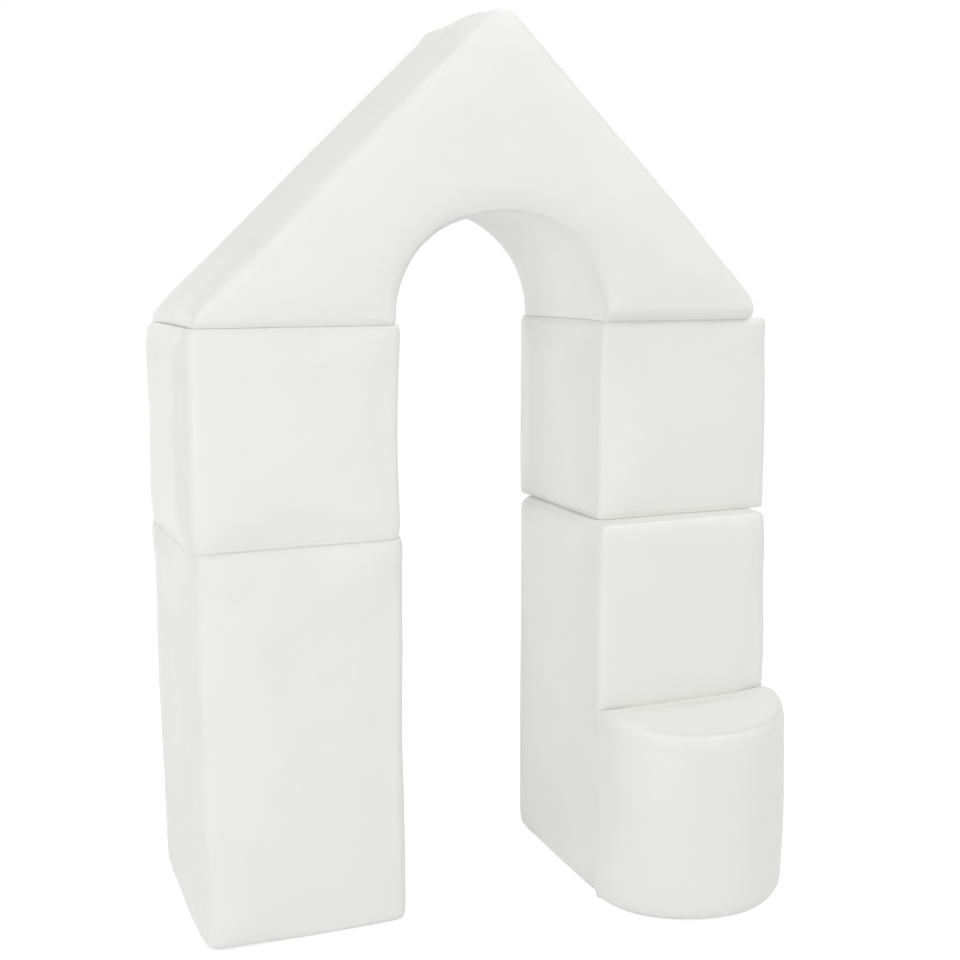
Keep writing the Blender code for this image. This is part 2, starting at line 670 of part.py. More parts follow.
def build():
    clear_scene()
    gate = add_empty("gate", None, -gate_middle())
    cube_base = TALL_HEIGHT + STACK_GAP
    roof_base = cube_base + CUBE_HEIGHT + STACK_GAP
    frames = {
        "left_tall": add_empty("left_tall_frame", gate, (*LEFT_TALL_AT, 0)),
        "right_tall": add_empty("right_tall_frame", gate, (*RIGHT_TALL_AT, 0)),
        "left_cube": add_empty("left_cube_frame", gate, (*LEFT_CUBE_AT, cube_base)),
        "right_cube": add_empty("right_cube_frame", gate, (*RIGHT_CUBE_AT, cube_base)),
        "roof": add_empty("roof_stand", gate, (*ROOF_AT, roof_base)),
        "seat": add_empty("seat_frame", gate, (SEAT_X, seat_back(), 0)),
    }
    zips = {
        "left_tall": add_box_block("left_tall", frames["left_tall"], TALL_HEIGHT),
        "right_tall": add_box_block("right_tall", frames["right_tall"], TALL_HEIGHT),
        "left_cube": add_box_block("left_cube", frames["left_cube"], CUBE_HEIGHT),
        "right_cube": add_box_block("right_cube", frames["right_cube"], CUBE_HEIGHT),
        "roof": add_roof("roof", frames["roof"]),
        "seat": add_seat("seat", frames["seat"]),
    }
    bpy.context.view_layer.update()
    for name, frame in frames.items():
        print(name, "stands at", [round(v, 6) for v in frame.matrix_world.translation])
    for name, (slider, pull) in zips.items():
        turn = pull.matrix_world.to_3x3()
        print(name, "pull turns about", [round(v, 6) for v in turn @ Vector((1, 0, 0))])
        print(name, "pull hinge at", [round(v, 6) for v in pull.matrix_world.translation])
        print(name, "slider runs along", [round(v, 6) for v in turn @ Vector((0, 0, -1))])


build()
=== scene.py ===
# Looks for the gate of loose soft play blocks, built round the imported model.
import json
from math import atan2, cos, exp, hypot, log, pi, radians, tan, tanh

import bmesh
import bpy
from mathutils import Matrix, Vector, noise


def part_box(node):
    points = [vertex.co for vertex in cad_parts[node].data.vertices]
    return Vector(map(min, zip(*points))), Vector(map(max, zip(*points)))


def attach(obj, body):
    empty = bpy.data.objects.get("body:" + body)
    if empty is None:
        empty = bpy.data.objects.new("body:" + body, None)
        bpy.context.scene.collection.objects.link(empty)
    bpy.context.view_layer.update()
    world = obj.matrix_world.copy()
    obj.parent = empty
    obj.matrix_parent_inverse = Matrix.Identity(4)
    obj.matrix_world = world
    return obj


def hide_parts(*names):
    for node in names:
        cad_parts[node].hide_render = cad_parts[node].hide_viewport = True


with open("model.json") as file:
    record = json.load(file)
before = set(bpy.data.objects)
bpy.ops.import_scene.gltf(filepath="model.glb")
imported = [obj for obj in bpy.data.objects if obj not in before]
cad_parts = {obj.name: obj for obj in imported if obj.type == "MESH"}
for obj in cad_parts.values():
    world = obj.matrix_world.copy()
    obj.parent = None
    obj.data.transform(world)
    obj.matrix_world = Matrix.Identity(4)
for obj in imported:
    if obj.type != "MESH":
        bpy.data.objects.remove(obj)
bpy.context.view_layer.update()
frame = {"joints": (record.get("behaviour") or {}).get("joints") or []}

joints = {joint["name"]: joint for joint in frame["joints"]}


# The photo's view, found together with the blocks' sizes

photoView = {
    "place": (-0.809, -1.8517, 0.962),
    "tilt": 81.07,
    "turn": -23.34,
    "lens": 51.315,
    "sensor": 36,
    "reach": 60,
    "shiftAcross": -0.0017,
    "shiftUp": 0.0004,
}


def setAll(thing, **settings):
    for key, value in settings.items():
        setattr(thing, key, value)


def placeCamera(view):
    data = bpy.data.cameras.new("photoCamera")
    setAll(data, lens=view["lens"], sensor_width=view["sensor"], clip_end=view["reach"],
           shift_x=view["shiftAcross"], shift_y=view["shiftUp"])
    camera = bpy.data.objects.new("photoCamera", data)
    camera.location = view["place"]
    camera.rotation_euler = (radians(view["tilt"]), 0, radians(view["turn"]))
    bpy.context.scene.collection.objects.link(camera)
    bpy.context.scene.camera = camera


placeCamera(photoView)
bpy.context.scene.view_settings.view_transform = "Standard"


# Node helpers

def newMaterial(name):
    material = bpy.data.materials.new(name)
    material.use_nodes = True
    return material, material.node_tree, material.node_tree.nodes["Principled BSDF"]


def feed(tree, node, inputs):
    # each input takes a value, or the output that is joined to it
    for key, value in inputs.items():
        if isinstance(value, bpy.types.NodeSocket):
            tree.links.new(value, node.inputs[key])
        else:
            node.inputs[key].default_value = value


def addNode(tree, kind, inputs=None, **settings):
    node = tree.nodes.new(kind)
    setAll(node, **settings)
    feed(tree, node, inputs or {})
    return node


def ramp(tree, source, *stops):
    node = addNode(tree, "ShaderNodeValToRGB", {"Fac": source})
    for element, (position, colour) in zip(node.color_ramp.elements, stops):
        element.position = position
        element.color = (*colour, 1)
    return node.outputs["Color"]


def spread(tree, source, low, high, toLow, toHigh):
    inputs = {"Value": source, "From Min": low, "From Max": high, "To Min": toLow, "To Max": toHigh}
    return addNode(tree, "ShaderNodeMapRange", inputs).outputs["Result"]


def bumpOn(tree, height, distance, before=None):
    inputs = {"Height": height, "Strength": 1.0, "Distance": distance}
    if before:
        inputs["Normal"] = before
    return addNode(tree, "ShaderNodeBump", inputs).outputs["Normal"]


def noiseOn(tree, where, scale, detail, roughness=0.5):
    return addNode(tree, "ShaderNodeTexNoise", {
        "Vector": where, "Scale": scale, "Detail": detail, "Roughness": roughness}).outputs["Fac"]


def cellsOn(tree, where, scale, randomness=1.0, feature="F1"):
    return addNode(tree, "ShaderNodeTexVoronoi", {
        "Vector": where, "Scale": scale, "Randomness": randomness}, feature=feature).outputs["Distance"]


def mathOn(tree, operation, *values, **settings):
    node = addNode(tree, "ShaderNodeMath", dict(enumerate(values)), operation=operation, **settings)
    return node.outputs[0]


def objectPlace(tree):
    return addNode(tree, "ShaderNodeTexCoord").outputs["Object"]


# Materials: sizes of grain, pores and patches are counts per metre, and depths are metres

coverLook = {
    "white": (0.858, 0.858, 0.834),
    "shaded": (0.840, 0.839, 0.815),
    # the seam colour and its share: painted shade along the seams, a darker colour mixed in where the seam's
    # crease is shaded
    "seamShadeColour": (0.74, 0.73, 0.69),
    "seamShare": 0.55,
    "patchSize": 9.0,
    "rubSize": 38.0,
    "roughLow": 0.40,
    "roughHigh": 0.52,
    "grainSize": 1100,
    "grainDepth": 0.00007,
    "rippleSize": 26,
    "rippleDepth": 0.0009,
    "poreSize": 3400,
    "poreDepth": 0.00002,
    "specular": 0.42,
    "coat": 0.06,
    "coatRough": 0.35,
}


def makeCoverVinyl(look):
    material, tree, shader = newMaterial("coverVinyl")
    where = objectPlace(tree)
    patches = noiseOn(tree, where, look["patchSize"], 3.0, 0.55)
    rubbed = noiseOn(tree, where, look["rubSize"], 4.0, 0.6)
    # painted shade: a per-point amount, stored with the seams, darkens the colour along them
    seam = addNode(tree, "ShaderNodeAttribute", attribute_name="paintedSeamShade").outputs["Fac"]
    tone = addNode(tree, "ShaderNodeMix", {
        "Factor": spread(tree, seam, 0, 1, 0, look["seamShare"]),
        "A": ramp(tree, patches, (0.30, look["shaded"]), (0.62, look["white"])),
        "B": (*look["seamShadeColour"], 1),
    }, data_type="RGBA")
    grain = spread(tree, cellsOn(tree, where, look["grainSize"], 0.95, "SMOOTH_F1"), 0.0, 0.6, 1, 0)
    surface = bumpOn(tree, noiseOn(tree, where, look["rippleSize"], 1.5, 0.4), look["rippleDepth"])
    surface = bumpOn(tree, grain, look["grainDepth"], surface)
    surface = bumpOn(tree, noiseOn(tree, where, look["poreSize"], 1.0), look["poreDepth"], surface)
    feed(tree, shader, {
        "Base Color": tone.outputs["Result"],
        "Roughness": spread(tree, rubbed, 0.3, 0.7, look["roughLow"], look["roughHigh"]),
        "Normal": surface,
        "Specular IOR Level": look["specular"],
        "Coat Weight": look["coat"],
        "Coat Roughness": look["coatRough"],
    })
    return material


# pale is the foam's own colour; deep is a painted shade in its pores, where the pits lie
foamLook = {"pale": (0.90, 0.88, 0.80), "deep": (0.78, 0.74, 0.62), "poreSize": 620, "poreDepth": 0.0004}


def makeFoam(look):
    material, tree, shader = newMaterial("openCellFoam")
    cells = cellsOn(tree, objectPlace(tree), look["poreSize"])
    feed(tree, shader, {
        # painted shade: the pits of the pores are painted darker
        "Base Color": ramp(tree, cells, (0.1, look["deep"]), (0.5, look["pale"])),
        "Roughness": 0.95,
        "Normal": bumpOn(tree, cells, look["poreDepth"]),
    })
    return material


tapeLook = {
    "thread": (0.88, 0.88, 0.87),
    # gap: painted shade between the threads, where the weave lies low
    "gap": (0.70, 0.70, 0.68),
    "waves": 95,
    "fuzz": 260.0,
    "depth": 0.00012,
}


def makeZipTape(look):
    # a narrow twill: two crossing waves along the tape's own flat map
    material, tree, shader = newMaterial("zipTapeTwill")
    where = addNode(tree, "ShaderNodeUVMap", uv_map="tapeMap").outputs["UV"]
    wave = {"Vector": where, "Scale": look["waves"], "Distortion": 0.4, "Detail Scale": 1.0}
    waves = [addNode(tree, "ShaderNodeTexWave", wave, bands_direction=direction) for direction in ("X", "Y")]
    weave = mathOn(tree, "MULTIPLY", *[wave.outputs["Fac"] for wave in waves])
    blend = mathOn(tree, "MULTIPLY_ADD", noiseOn(tree, where, look["fuzz"], 3.0), 0.5, weave)
    feed(tree, shader, {
        # painted shade: where the weave is low the colour goes darker, varied at random by the fuzz
        "Base Color": ramp(tree, blend, (0.25, look["gap"]), (0.75, look["thread"])),
        "Roughness": 0.85,
        "Normal": bumpOn(tree, weave, look["depth"]),
        "Sheen Weight": 0.2,
    })
    return material


nylonLook = {"colour": (0.90, 0.90, 0.89), "shade": (0.80, 0.80, 0.78), "patchSize": 700.0, "depth": 0.00004}


def makeNylon(name, look, roughness):
    material, tree, shader = newMaterial(name)
    patches = noiseOn(tree, objectPlace(tree), look["patchSize"], 2.0)
    feed(tree, shader, {
        "Base Color": ramp(tree, patches, (0.3, look["shade"]), (0.6, look["colour"])),
        "Roughness": spread(tree, patches, 0.3, 0.7, roughness - 0.08, roughness + 0.08),
        "Normal": bumpOn(tree, patches, look["depth"]),
    })
    return material


metalLook = {
    "bright": (0.74, 0.73, 0.71),
    "worn": (0.58, 0.57, 0.55),
    "smooth": 0.16,
    "rough": 0.36,
    "scratchSize": 2600.0,
    "scratchDepth": 0.00001,
    "patchSize": 240.0,
}


def makeZipMetal(look):
    material, tree, shader = newMaterial("zipNickel")
    where = objectPlace(tree)
    stretch = addNode(tree, "ShaderNodeMapping", {"Vector": where, "Scale": (1.0, 1.0, 0.12)})
    scratches = noiseOn(tree, stretch.outputs["Vector"], look["scratchSize"], 4.0, 0.65)
    patches = noiseOn(tree, where, look["patchSize"], 2.0)
    feed(tree, shader, {
        "Base Color": ramp(tree, patches, (0.35, look["worn"]), (0.6, look["bright"])),
        "Roughness": spread(tree, scratches, 0.3, 0.7, look["smooth"], look["rough"]),
        "Normal": bumpOn(tree, scratches, look["scratchDepth"]),
        "Metallic": 1.0,
    })
    return material


coverVinyl = makeCoverVinyl(coverLook)
openCellFoam = makeFoam(foamLook)
zipTapeTwill = makeZipTape(tapeLook)
zipNylon = makeNylon("zipNylon", nylonLook, 0.36)
seamThread = makeNylon("seamThread", nylonLook, 0.6)
zipNickel = makeZipMetal(metalLook)
print("materials made")


# Mesh helpers

def placeMesh(name, bm, material, at=(0, 0, 0)):
    moveBy(bm, at)
    mesh = bpy.data.meshes.new(name)
    bm.to_mesh(mesh)
    bm.free()
    mesh.shade_smooth()
    piece = bpy.data.objects.new(name, mesh)
    bpy.context.scene.collection.objects.link(piece)
    mesh.materials.append(material)
    return piece


def keepModifiers(piece):
    graph = bpy.context.evaluated_depsgraph_get()
    made = bpy.data.meshes.new_from_object(piece.evaluated_get(graph), depsgraph=graph)
    piece.modifiers.clear()
    old = piece.data
    piece.data = made
    bpy.data.meshes.remove(old)


def addModifier(piece, kind, **settings):
    modifier = piece.modifiers.new(kind.lower(), kind)
    setAll(modifier, **settings)
    return modifier


def toBmesh(piece):
    bm = bmesh.new()
    bm.from_mesh(piece.data)
    return bm


def cutPlane(bm, point, normal, geom=None, clearOuter=False, clearInner=False):
    geom = geom or bm.verts[:] + bm.edges[:] + bm.faces[:]
    return bmesh.ops.bisect_plane(bm, geom=geom, dist=1e-6, plane_co=point, plane_no=normal,
                                  clear_outer=clearOuter, clear_inner=clearInner)["geom"]


def geomOf(faces):
    # the faces with their edges and points, each once and in a steady order
    edges = dict.fromkeys(edge for face in faces for edge in face.edges)
    verts = dict.fromkeys(vert for face in faces for vert in face.verts)
    return [*verts, *edges, *faces]


def vertsIn(geom):
    return [part for part in geom if isinstance(part, bmesh.types.BMVert)]


def facesIn(geom):
    return [part for part in geom if isinstance(part, bmesh.types.BMFace)]


def drawOut(bm, faces, vec):
    grown = bmesh.ops.extrude_face_region(bm, geom=faces)["geom"]
    moveBy(bm, vec, vertsIn(grown))
    return grown


def moveBy(bm, vec, verts=None):
    bmesh.ops.translate(bm, verts=verts or bm.verts, vec=vec)


def scaleBy(bm, vec, verts=None):
    bmesh.ops.scale(bm, verts=verts or bm.verts, vec=vec)


def faceOut(bm):
    bmesh.ops.recalc_face_normals(bm, faces=bm.faces)


def smoothStep(value):
    value = max(0.0, min(1.0, value))
    return value * value * (3 - 2 * value)


def pulled(point, pulls):
    # each pull moves what lies within its reach, and fades smoothly
    moved = point.copy()
    for at, reach, move in pulls:
        far = sum(((point[i] - at[i]) / reach[i]) ** 2 for i in range(3))
        if far < 8:
            moved += Vector(move) * exp(-far)
    return moved


def bendIn(point, level, side, inset, reach, half):
    # towards a resting plane the sides bend in
    near = max(0.0, 1 - (level - point.z) * side / reach)
    share = 1 - inset / half * min(1.0, near)**2
    point.x *= share
    point.y *= share


def flatten(bm, level, side):
    # presses flat what lies beyond a resting plane
    cutPlane(bm, (0, 0, level), (0, 0, 1))
    for vert in bm.verts:
        if (vert.co.z - level) * side > 0:
            vert.co.z = level


def roundEdges(bm, edges, width, steps):
    bmesh.ops.bevel(bm, geom=edges, offset=width, offset_type="OFFSET", segments=steps, profile=0.5,
                    affect="EDGES", material=-1)


def runAlong(edge, axis):
    return abs(edge.verts[0].co[axis] - edge.verts[1].co[axis])


def keepWithin(verts, least=(-1, -1, 0), most=(1, 1, 1)):
    for vert in verts:
        vert.co = [min(max(value, low), high) for value, low, high in zip(vert.co, least, most)]


def roundedBar(bm, size, at, radius):
    made = bmesh.ops.create_cube(bm, size=1)["verts"]
    scaleBy(bm, size, made)
    moveBy(bm, at, made)
    roundEdges(bm, list(dict.fromkeys(edge for vert in made for edge in vert.link_edges)), radius, 2)


# Soft forms: a plain solid is remeshed, softened, blown up a little as cloth and pressed flat where it rests

def evenMesh(name, bm, voxel):
    piece = placeMesh(name, bm, openCellFoam)
    addModifier(piece, "REMESH", mode="VOXEL", voxel_size=voxel)
    keepModifiers(piece)
    return piece


def soften(piece, passes):
    # passes gives how often a point moves towards its neighbours
    bm = toBmesh(piece)
    counts = {vert: passes(vert.co) for vert in bm.verts}
    for done in range(max(counts.values())):
        loose = [vert for vert, count in counts.items() if count > done]
        bmesh.ops.smooth_vert(bm, verts=loose, factor=0.5,
                              use_axis_x=True, use_axis_y=True, use_axis_z=True)
    bm.to_mesh(piece.data)
    bm.free()


clothLook = {
    "pressure": 4.0,
    "frames": 16,
    "stretch": 12,
    "bending": 0.8,
    "limit": 0.004,          # no point moves further
    "calm": 14,              # rounds that even out the moves
    "unevenSize": 11,
}


def swell(piece, share):
    # air pressure on cloth
    look = clothLook
    start = [vert.co.copy() for vert in piece.data.vertices]
    cloth = addModifier(piece, "CLOTH")
    setAll(cloth.settings, quality=4, use_pressure=True, uniform_pressure_force=look["pressure"],
           tension_stiffness=look["stretch"], compression_stiffness=look["stretch"],
           bending_stiffness=look["bending"])
    cloth.settings.effector_weights.gravity = 0
    cloth.collision_settings.use_collision = False
    setAll(cloth.point_cache, frame_start=1, frame_end=look["frames"])
    scene = bpy.context.scene
    for number in range(1, look["frames"] + 1):
        scene.frame_set(number)
    keepModifiers(piece)
    scene.frame_set(1)
    limit = look["limit"]
    moves = []
    for vert, before in zip(piece.data.vertices, start):
        move = vert.co - before
        size = max(move.length, 1e-7)
        moves.append(move * (limit * tanh(size / limit) / size * share(before)))
    bm = toBmesh(piece)
    around = [[edge.other_vert(vert).index for edge in vert.link_edges] for vert in bm.verts]
    bm.free()
    for turn in range(look["calm"]):
        moves = [(moves[i] + sum((moves[j] for j in near), Vector((0, 0, 0))) / len(near)) / 2
                 for i, near in enumerate(around)]
    for vert, before, move in zip(piece.data.vertices, start, moves):
        vert.co = before + move


def softForm(block, solid, look, keep, passes=None):
    piece = evenMesh(block + "_form", solid, look["voxel"])
    soften(piece, passes or (lambda point: look["passes"]))
    swell(piece, keep)
    return piece


def unevenAt(point, look, keep):
    wave = noise.noise(point * clothLook["unevenSize"] + Vector((look["seed"], 0, 0)))
    return wave * look["unevenness"] * keep(point)


def finerForm(piece):
    addModifier(piece, "SUBSURF", levels=1, render_levels=1)
    keepModifiers(piece)
    bm = toBmesh(piece)
    bpy.data.objects.remove(piece)
    return bm


# Seams, worked into the whole form before its panels are cut apart

def workSeam(bm, level, axis, look, seed, weight=None):
    # extra cuts beside the seam, then the cover is drawn in and puckers, and its colour takes a painted
    # shade along the seam
    normal = Vector((0, 0, 0))
    normal[axis] = 1
    for offset in look["cuts"]:
        for side in (-1, 1):
            at = level + side * offset
            near = [face for face in bm.faces if abs(face.calc_center_median()[axis] - at) < look["nearBy"]]
            cutPlane(bm, normal * at, normal, geomOf(near))
    bm.normal_update()
    layer = bm.verts.layers.float.get("paintedSeamShade") or bm.verts.layers.float.new("paintedSeamShade")
    moves = []
    for vert in bm.verts:
        gap = abs(vert.co[axis] - level)
        if gap > look["reach"]:
            continue
        share = weight(vert.co) if weight else 1.0
        where = vert.co / look["puckerSize"]
        where[axis] *= 0.25
        ripple = noise.noise(where + Vector((seed, 0, 0)))
        fade = exp(-gap / look["puckerReach"])
        off = gap / look["width"]
        depth = look["depth"] * exp(-off) - look["puff"] * off * exp(1 - off) * 0.5
        depth += look["pucker"] * ripple * fade
        moves.append((vert, vert.normal.copy(), depth * share))
        # painted shade: how much the cover's colour is darkened here, fading away from the seam
        vert[layer] = max(vert[layer], share * look["seamShadeStrength"] * exp(-gap / look["seamShadeWidth"]))
    for vert, facing, depth in moves:
        facing[axis] = 0
        if facing.length > 0.05:
            vert.co -= facing.normalized() * depth
        else:
            vert.co -= vert.normal * depth


def panelOf(bm, cuts):
    # what lies on the kept side of each cut
    panel = bm.copy()
    for point, normal in cuts:
        cutPlane(panel, point, normal, clearInner=True)
    return panel


def keepCrisp(bm):
    # open edges and the rims of resting faces don't shade round
    for edge in bm.edges:
        if edge.is_boundary or edge.calc_face_angle(0) > radians(seamLook["crisp"]):
            edge.smooth = False


seamLook = {
    "cuts": (0.0009, 0.0022, 0.0045),
    "nearBy": 0.012,
    "reach": 0.030,
    "depth": 0.0004,
    "width": 0.0014,
    "puff": 0.00015,
    "pucker": 0.0003,
    "puckerSize": 0.0085,
    "puckerReach": 0.008,
    # painted shade along each seam: how strong, and how wide
    "seamShadeStrength": 0.3,
    "seamShadeWidth": 0.0010,
    "gap": 0.00002,
    "wall": 0.0012,
    "fill": 0.95,
    "crisp": 32,             # degrees, past which an edge is shaded sharp
}


# Zips, drawn in a frame of their own: X across the tape, Y out of the cover, Z along the zip

zipLook = {
    "slotWidth": 0.024,
    "slotDeep": 0.008,
    "slotMargin": 0.012,
    "hingeHeight": 0.0054,
    "sliderLength": 0.012,
    "sliderStop": 0.004,
    "toothPitch": 0.00150,
    "tooth": (0.00150, 0.00090, 0.00047),
    "toothSide": 0.00095,
    "stitchPitch": 0.0036,
    "stitch": (0.00030, 0.00026, 0.00135),
    "stitchFromSlot": 0.0026,
    "tapeTop": -0.00015,
    "tapeWall": 0.0011,
    "tapeInset": 0.00005,
    "ridge": {"from": 0.0034, "high": 0.00022, "wide": 0.0007},
    "tapeEdge": {"from": 0.0060, "over": 0.005, "drop": 0.0003},
    "flatBeside": 0.008,
    "flatFade": 0.06,
    "flatDeep": 0.01,
    "coilHigh": 0.00085,
    "coilInset": 0.003,
    "clamp": (0.0058, 0.0022, 0.0024),
    "clampHigh": 0.0009,
    "clampInset": 0.0016,
    "clampRadius": 0.0005,
}


def zipFrame(block):
    # from the joints: the pull's hinge runs across the tape, the slider down along it
    hinge = joints[block + "_zip_pull_hinge"]
    slide = joints[block + "_zip_slide"]
    across = Vector(hinge["axis"]).normalized()
    along = -Vector(slide["axis"]).normalized()
    out = along.cross(across).normalized()
    length = slide["range_m"][1] + zipLook["sliderLength"] + 2 * zipLook["sliderStop"]
    middle = length - zipLook["sliderStop"] - zipLook["sliderLength"] / 2
    origin = Vector(hinge["pos_m"]) - out * zipLook["hingeHeight"] - along * middle
    place = Matrix((across, out, along)).transposed().to_4x4()
    place.translation = origin
    return place, length, middle


def openSlot(bm, place, length):
    # the band is cut along the slot's four edges and the faces between them go
    back = place.inverted()
    wide, deep, margin = zipLook["slotWidth"], zipLook["slotDeep"], zipLook["slotMargin"]
    near = []
    for face in bm.faces:
        at = back @ face.calc_center_median()
        if abs(at.x) < wide / 2 + margin and abs(at.y) < deep and -margin < at.z < length + margin:
            near.append(face)
    turn = place.to_3x3()
    for point, normal in (((wide / 2, 0, 0), (1, 0, 0)), ((-wide / 2, 0, 0), (1, 0, 0)),
                          ((0, 0, 0), (0, 0, 1)), ((0, 0, length), (0, 0, 1))):
        near = facesIn(cutPlane(bm, place @ Vector(point), turn @ Vector(normal), geomOf(near)))
    doomed = []
    for face in near:
        at = back @ face.calc_center_median()
        if abs(at.x) < wide / 2 and abs(at.y) < deep and 0 < at.z < length:
            doomed.append(face)
    bmesh.ops.delete(bm, geom=doomed, context="FACES")


def repeated(bm, count, step):
    # the shapes in bm, repeated in a row by an Array modifier
    piece = placeMesh("row", bm, zipNylon)
    addModifier(piece, "ARRAY", count=count, use_relative_offset=False, use_constant_offset=True,
                constant_offset_displace=step)
    keepModifiers(piece)
    made = toBmesh(piece)
    bpy.data.objects.remove(piece)
    return made


def addTo(bm, other):
    # moves the other's shapes into bm
    mesh = bpy.data.meshes.new("shapes")
    other.to_mesh(mesh)
    other.free()
    bm.from_mesh(mesh)
    bpy.data.meshes.remove(mesh)


def makeTape(length):
    # the tape with a low ridge beside the coil and a raised edge, mapped flat for its weave
    bm = bmesh.new()
    half = zipLook["slotWidth"] / 2 - zipLook["tapeInset"]
    ridge, edge = zipLook["ridge"], zipLook["tapeEdge"]
    bmesh.ops.create_grid(bm, x_segments=24, y_segments=2, size=1)
    scaleBy(bm, (half, length / 2 - 0.0002, 1))
    bmesh.ops.rotate(bm, verts=bm.verts, cent=(0, 0, 0), matrix=Matrix.Rotation(radians(90), 3, "X"))
    moveBy(bm, (0, 0, length / 2))
    flat = bm.loops.layers.uv.new("tapeMap")
    for face in bm.faces:
        for corner in face.loops:
            corner[flat].uv = (corner.vert.co.x, corner.vert.co.z)
    for vert in bm.verts:
        across = abs(vert.co.x)
        rise = ridge["high"] * exp(-((across - ridge["from"]) / ridge["wide"]) ** 2)
        fall = edge["drop"] * smoothStep((across - edge["from"]) / edge["over"])
        vert.co.y = zipLook["tapeTop"] + rise - fall
    faces = bm.faces[:]
    bmesh.ops.recalc_face_normals(bm, faces=faces)
    if faces[0].normal.y < 0:
        bmesh.ops.reverse_faces(bm, faces=faces)
    bmesh.ops.solidify(bm, geom=faces, thickness=zipLook["tapeWall"])
    return bm


def makeCoil(length):
    # two rows of nylon loops that mesh in the middle, with a clamp at each end
    bm = bmesh.new()
    pitch, inset = zipLook["toothPitch"], zipLook["coilInset"]
    for side in (-1, 1):
        made = bmesh.ops.create_uvsphere(bm, u_segments=8, v_segments=5, radius=1)["verts"]
        bmesh.ops.rotate(bm, verts=made, cent=(0, 0, 0), matrix=Matrix.Rotation(radians(90), 3, "Y"))
        scaleBy(bm, zipLook["tooth"], made)
        start = (side * zipLook["toothSide"], zipLook["coilHigh"], inset + (0 if side < 0 else pitch / 2))
        moveBy(bm, start, made)
    bm = repeated(bm, int((length - 2 * inset) / pitch), (0, 0, pitch))
    for height in (zipLook["clampInset"], length - zipLook["clampInset"]):
        roundedBar(bm, zipLook["clamp"], (0, zipLook["clampHigh"], height), zipLook["clampRadius"])
    return bm


def makeStitches(length):
    # two rows of lockstitch in the cover beside the slot, and one across each end
    bm = bmesh.new()
    beside = zipLook["slotWidth"] / 2 + zipLook["stitchFromSlot"]
    pitch = zipLook["stitchPitch"]
    tall = length + 2 * zipLook["stitchFromSlot"]

    def row(count, turn, starts, step):
        first = bmesh.new()
        for start in starts:
            made = bmesh.ops.create_uvsphere(first, u_segments=6, v_segments=5, radius=1)["verts"]
            scaleBy(first, zipLook["stitch"], made)
            bmesh.ops.rotate(first, verts=made, cent=(0, 0, 0), matrix=turn)
            moveBy(first, start, made)
        addTo(bm, repeated(first, count, step))

    ups = int(tall / pitch)
    acrosses = int(2 * beside / pitch)
    low = -zipLook["stitchFromSlot"] + (tall - (ups - 1) * pitch) / 2
    left = -(acrosses - 1) * pitch / 2
    row(ups, Matrix.Identity(3), [(side * beside, 0.0001, low) for side in (-1, 1)], (0, 0, pitch))
    ends = [(left, 0.0001, length / 2 + side * tall / 2) for side in (-1, 1)]
    row(acrosses, Matrix.Rotation(radians(90), 3, "Y"), ends, (pitch, 0, 0))
    return bm


sliderLook = {
    "wide": 0.0090,
    "top": 0.0042,
    "under": 0.0003,
    "channel": 0.0028,
    "channelTop": 0.0021,
    "channelHigh": 0.0018,
    "slope": 0.0006,
    "edgeRadius": 0.00022,
    "waist": 0.80,
    "bridgeWide": 0.0020,
    "bridgeThick": 0.0010,
    "bridgeHole": 0.0024,
    "bridgeHalf": 0.0028,
    "bridgeBend": 0.0012,
    "bridgeSunk": 0.0005,
}


def makeSlider(middle):
    look = sliderLook
    bm = bmesh.new()
    half = look["wide"] / 2
    under, top = look["under"], look["top"]
    channel, roof, slope = look["channel"], under + look["channelHigh"], look["slope"]
    flank = [(look["channelTop"], roof), (channel, under), (half, under),
             (half, top - slope), (half - 2 * slope, top)]
    outline = [(-x, y) for x, y in flank[2::-1]] + flank + [(-x, y) for x, y in flank[:2:-1]]
    long = zipLook["sliderLength"]
    ring = [bm.verts.new((x, y, -long / 2)) for x, y in outline]
    drawOut(bm, [bm.faces.new(ring)], (0, 0, long))
    for share in (-0.25, 0.05, 0.3):
        cutPlane(bm, (0, 0, share * long), (0, 0, 1))
    for vert in bm.verts:
        low = smoothStep(0.5 - vert.co.z / long)
        if abs(vert.co.x) > look["channel"] + 0.0001 or vert.co.y > under + 0.002:
            vert.co.x *= 1 - (1 - look["waist"]) * low
    faceOut(bm)
    sharp = [edge for edge in bm.edges if edge.calc_face_angle(0) > radians(35)]
    roundEdges(bm, sharp, look["edgeRadius"], 2)
    # the bridge: a flat bar spun up, over and down
    wide, thick = look["bridgeWide"] / 2, look["bridgeThick"]
    inner, bend, sunk = look["bridgeHalf"], look["bridgeBend"], look["bridgeSunk"]
    foot = [bm.verts.new((x, top - sunk, z)) for x, z in
            ((-wide, inner), (wide, inner), (wide, inner + thick), (-wide, inner + thick))]
    bar = bm.faces.new(foot)

    def lift(face, vec):
        return facesIn(drawOut(bm, [face], vec))[0]

    def bendRound(face, along):
        return facesIn(bmesh.ops.spin(bm, geom=[face], cent=(0, rise, along), axis=(1, 0, 0), dvec=(0, 0, 0),
                                      angle=-radians(90), steps=5)["geom_last"])[0]

    rise = top + look["bridgeHole"] - bend + thick / 2
    turnAt = inner - bend + thick / 2
    bar = bendRound(lift(bar, (0, rise - (top - sunk), 0)), turnAt)
    bar = bendRound(lift(bar, (0, 0, -2 * turnAt)), -turnAt)
    lift(bar, (0, top - sunk - rise, 0))
    bmesh.ops.remove_doubles(bm, verts=bm.verts, dist=1e-6)
    faceOut(bm)
    moveBy(bm, (0, 0, middle))
    return bm


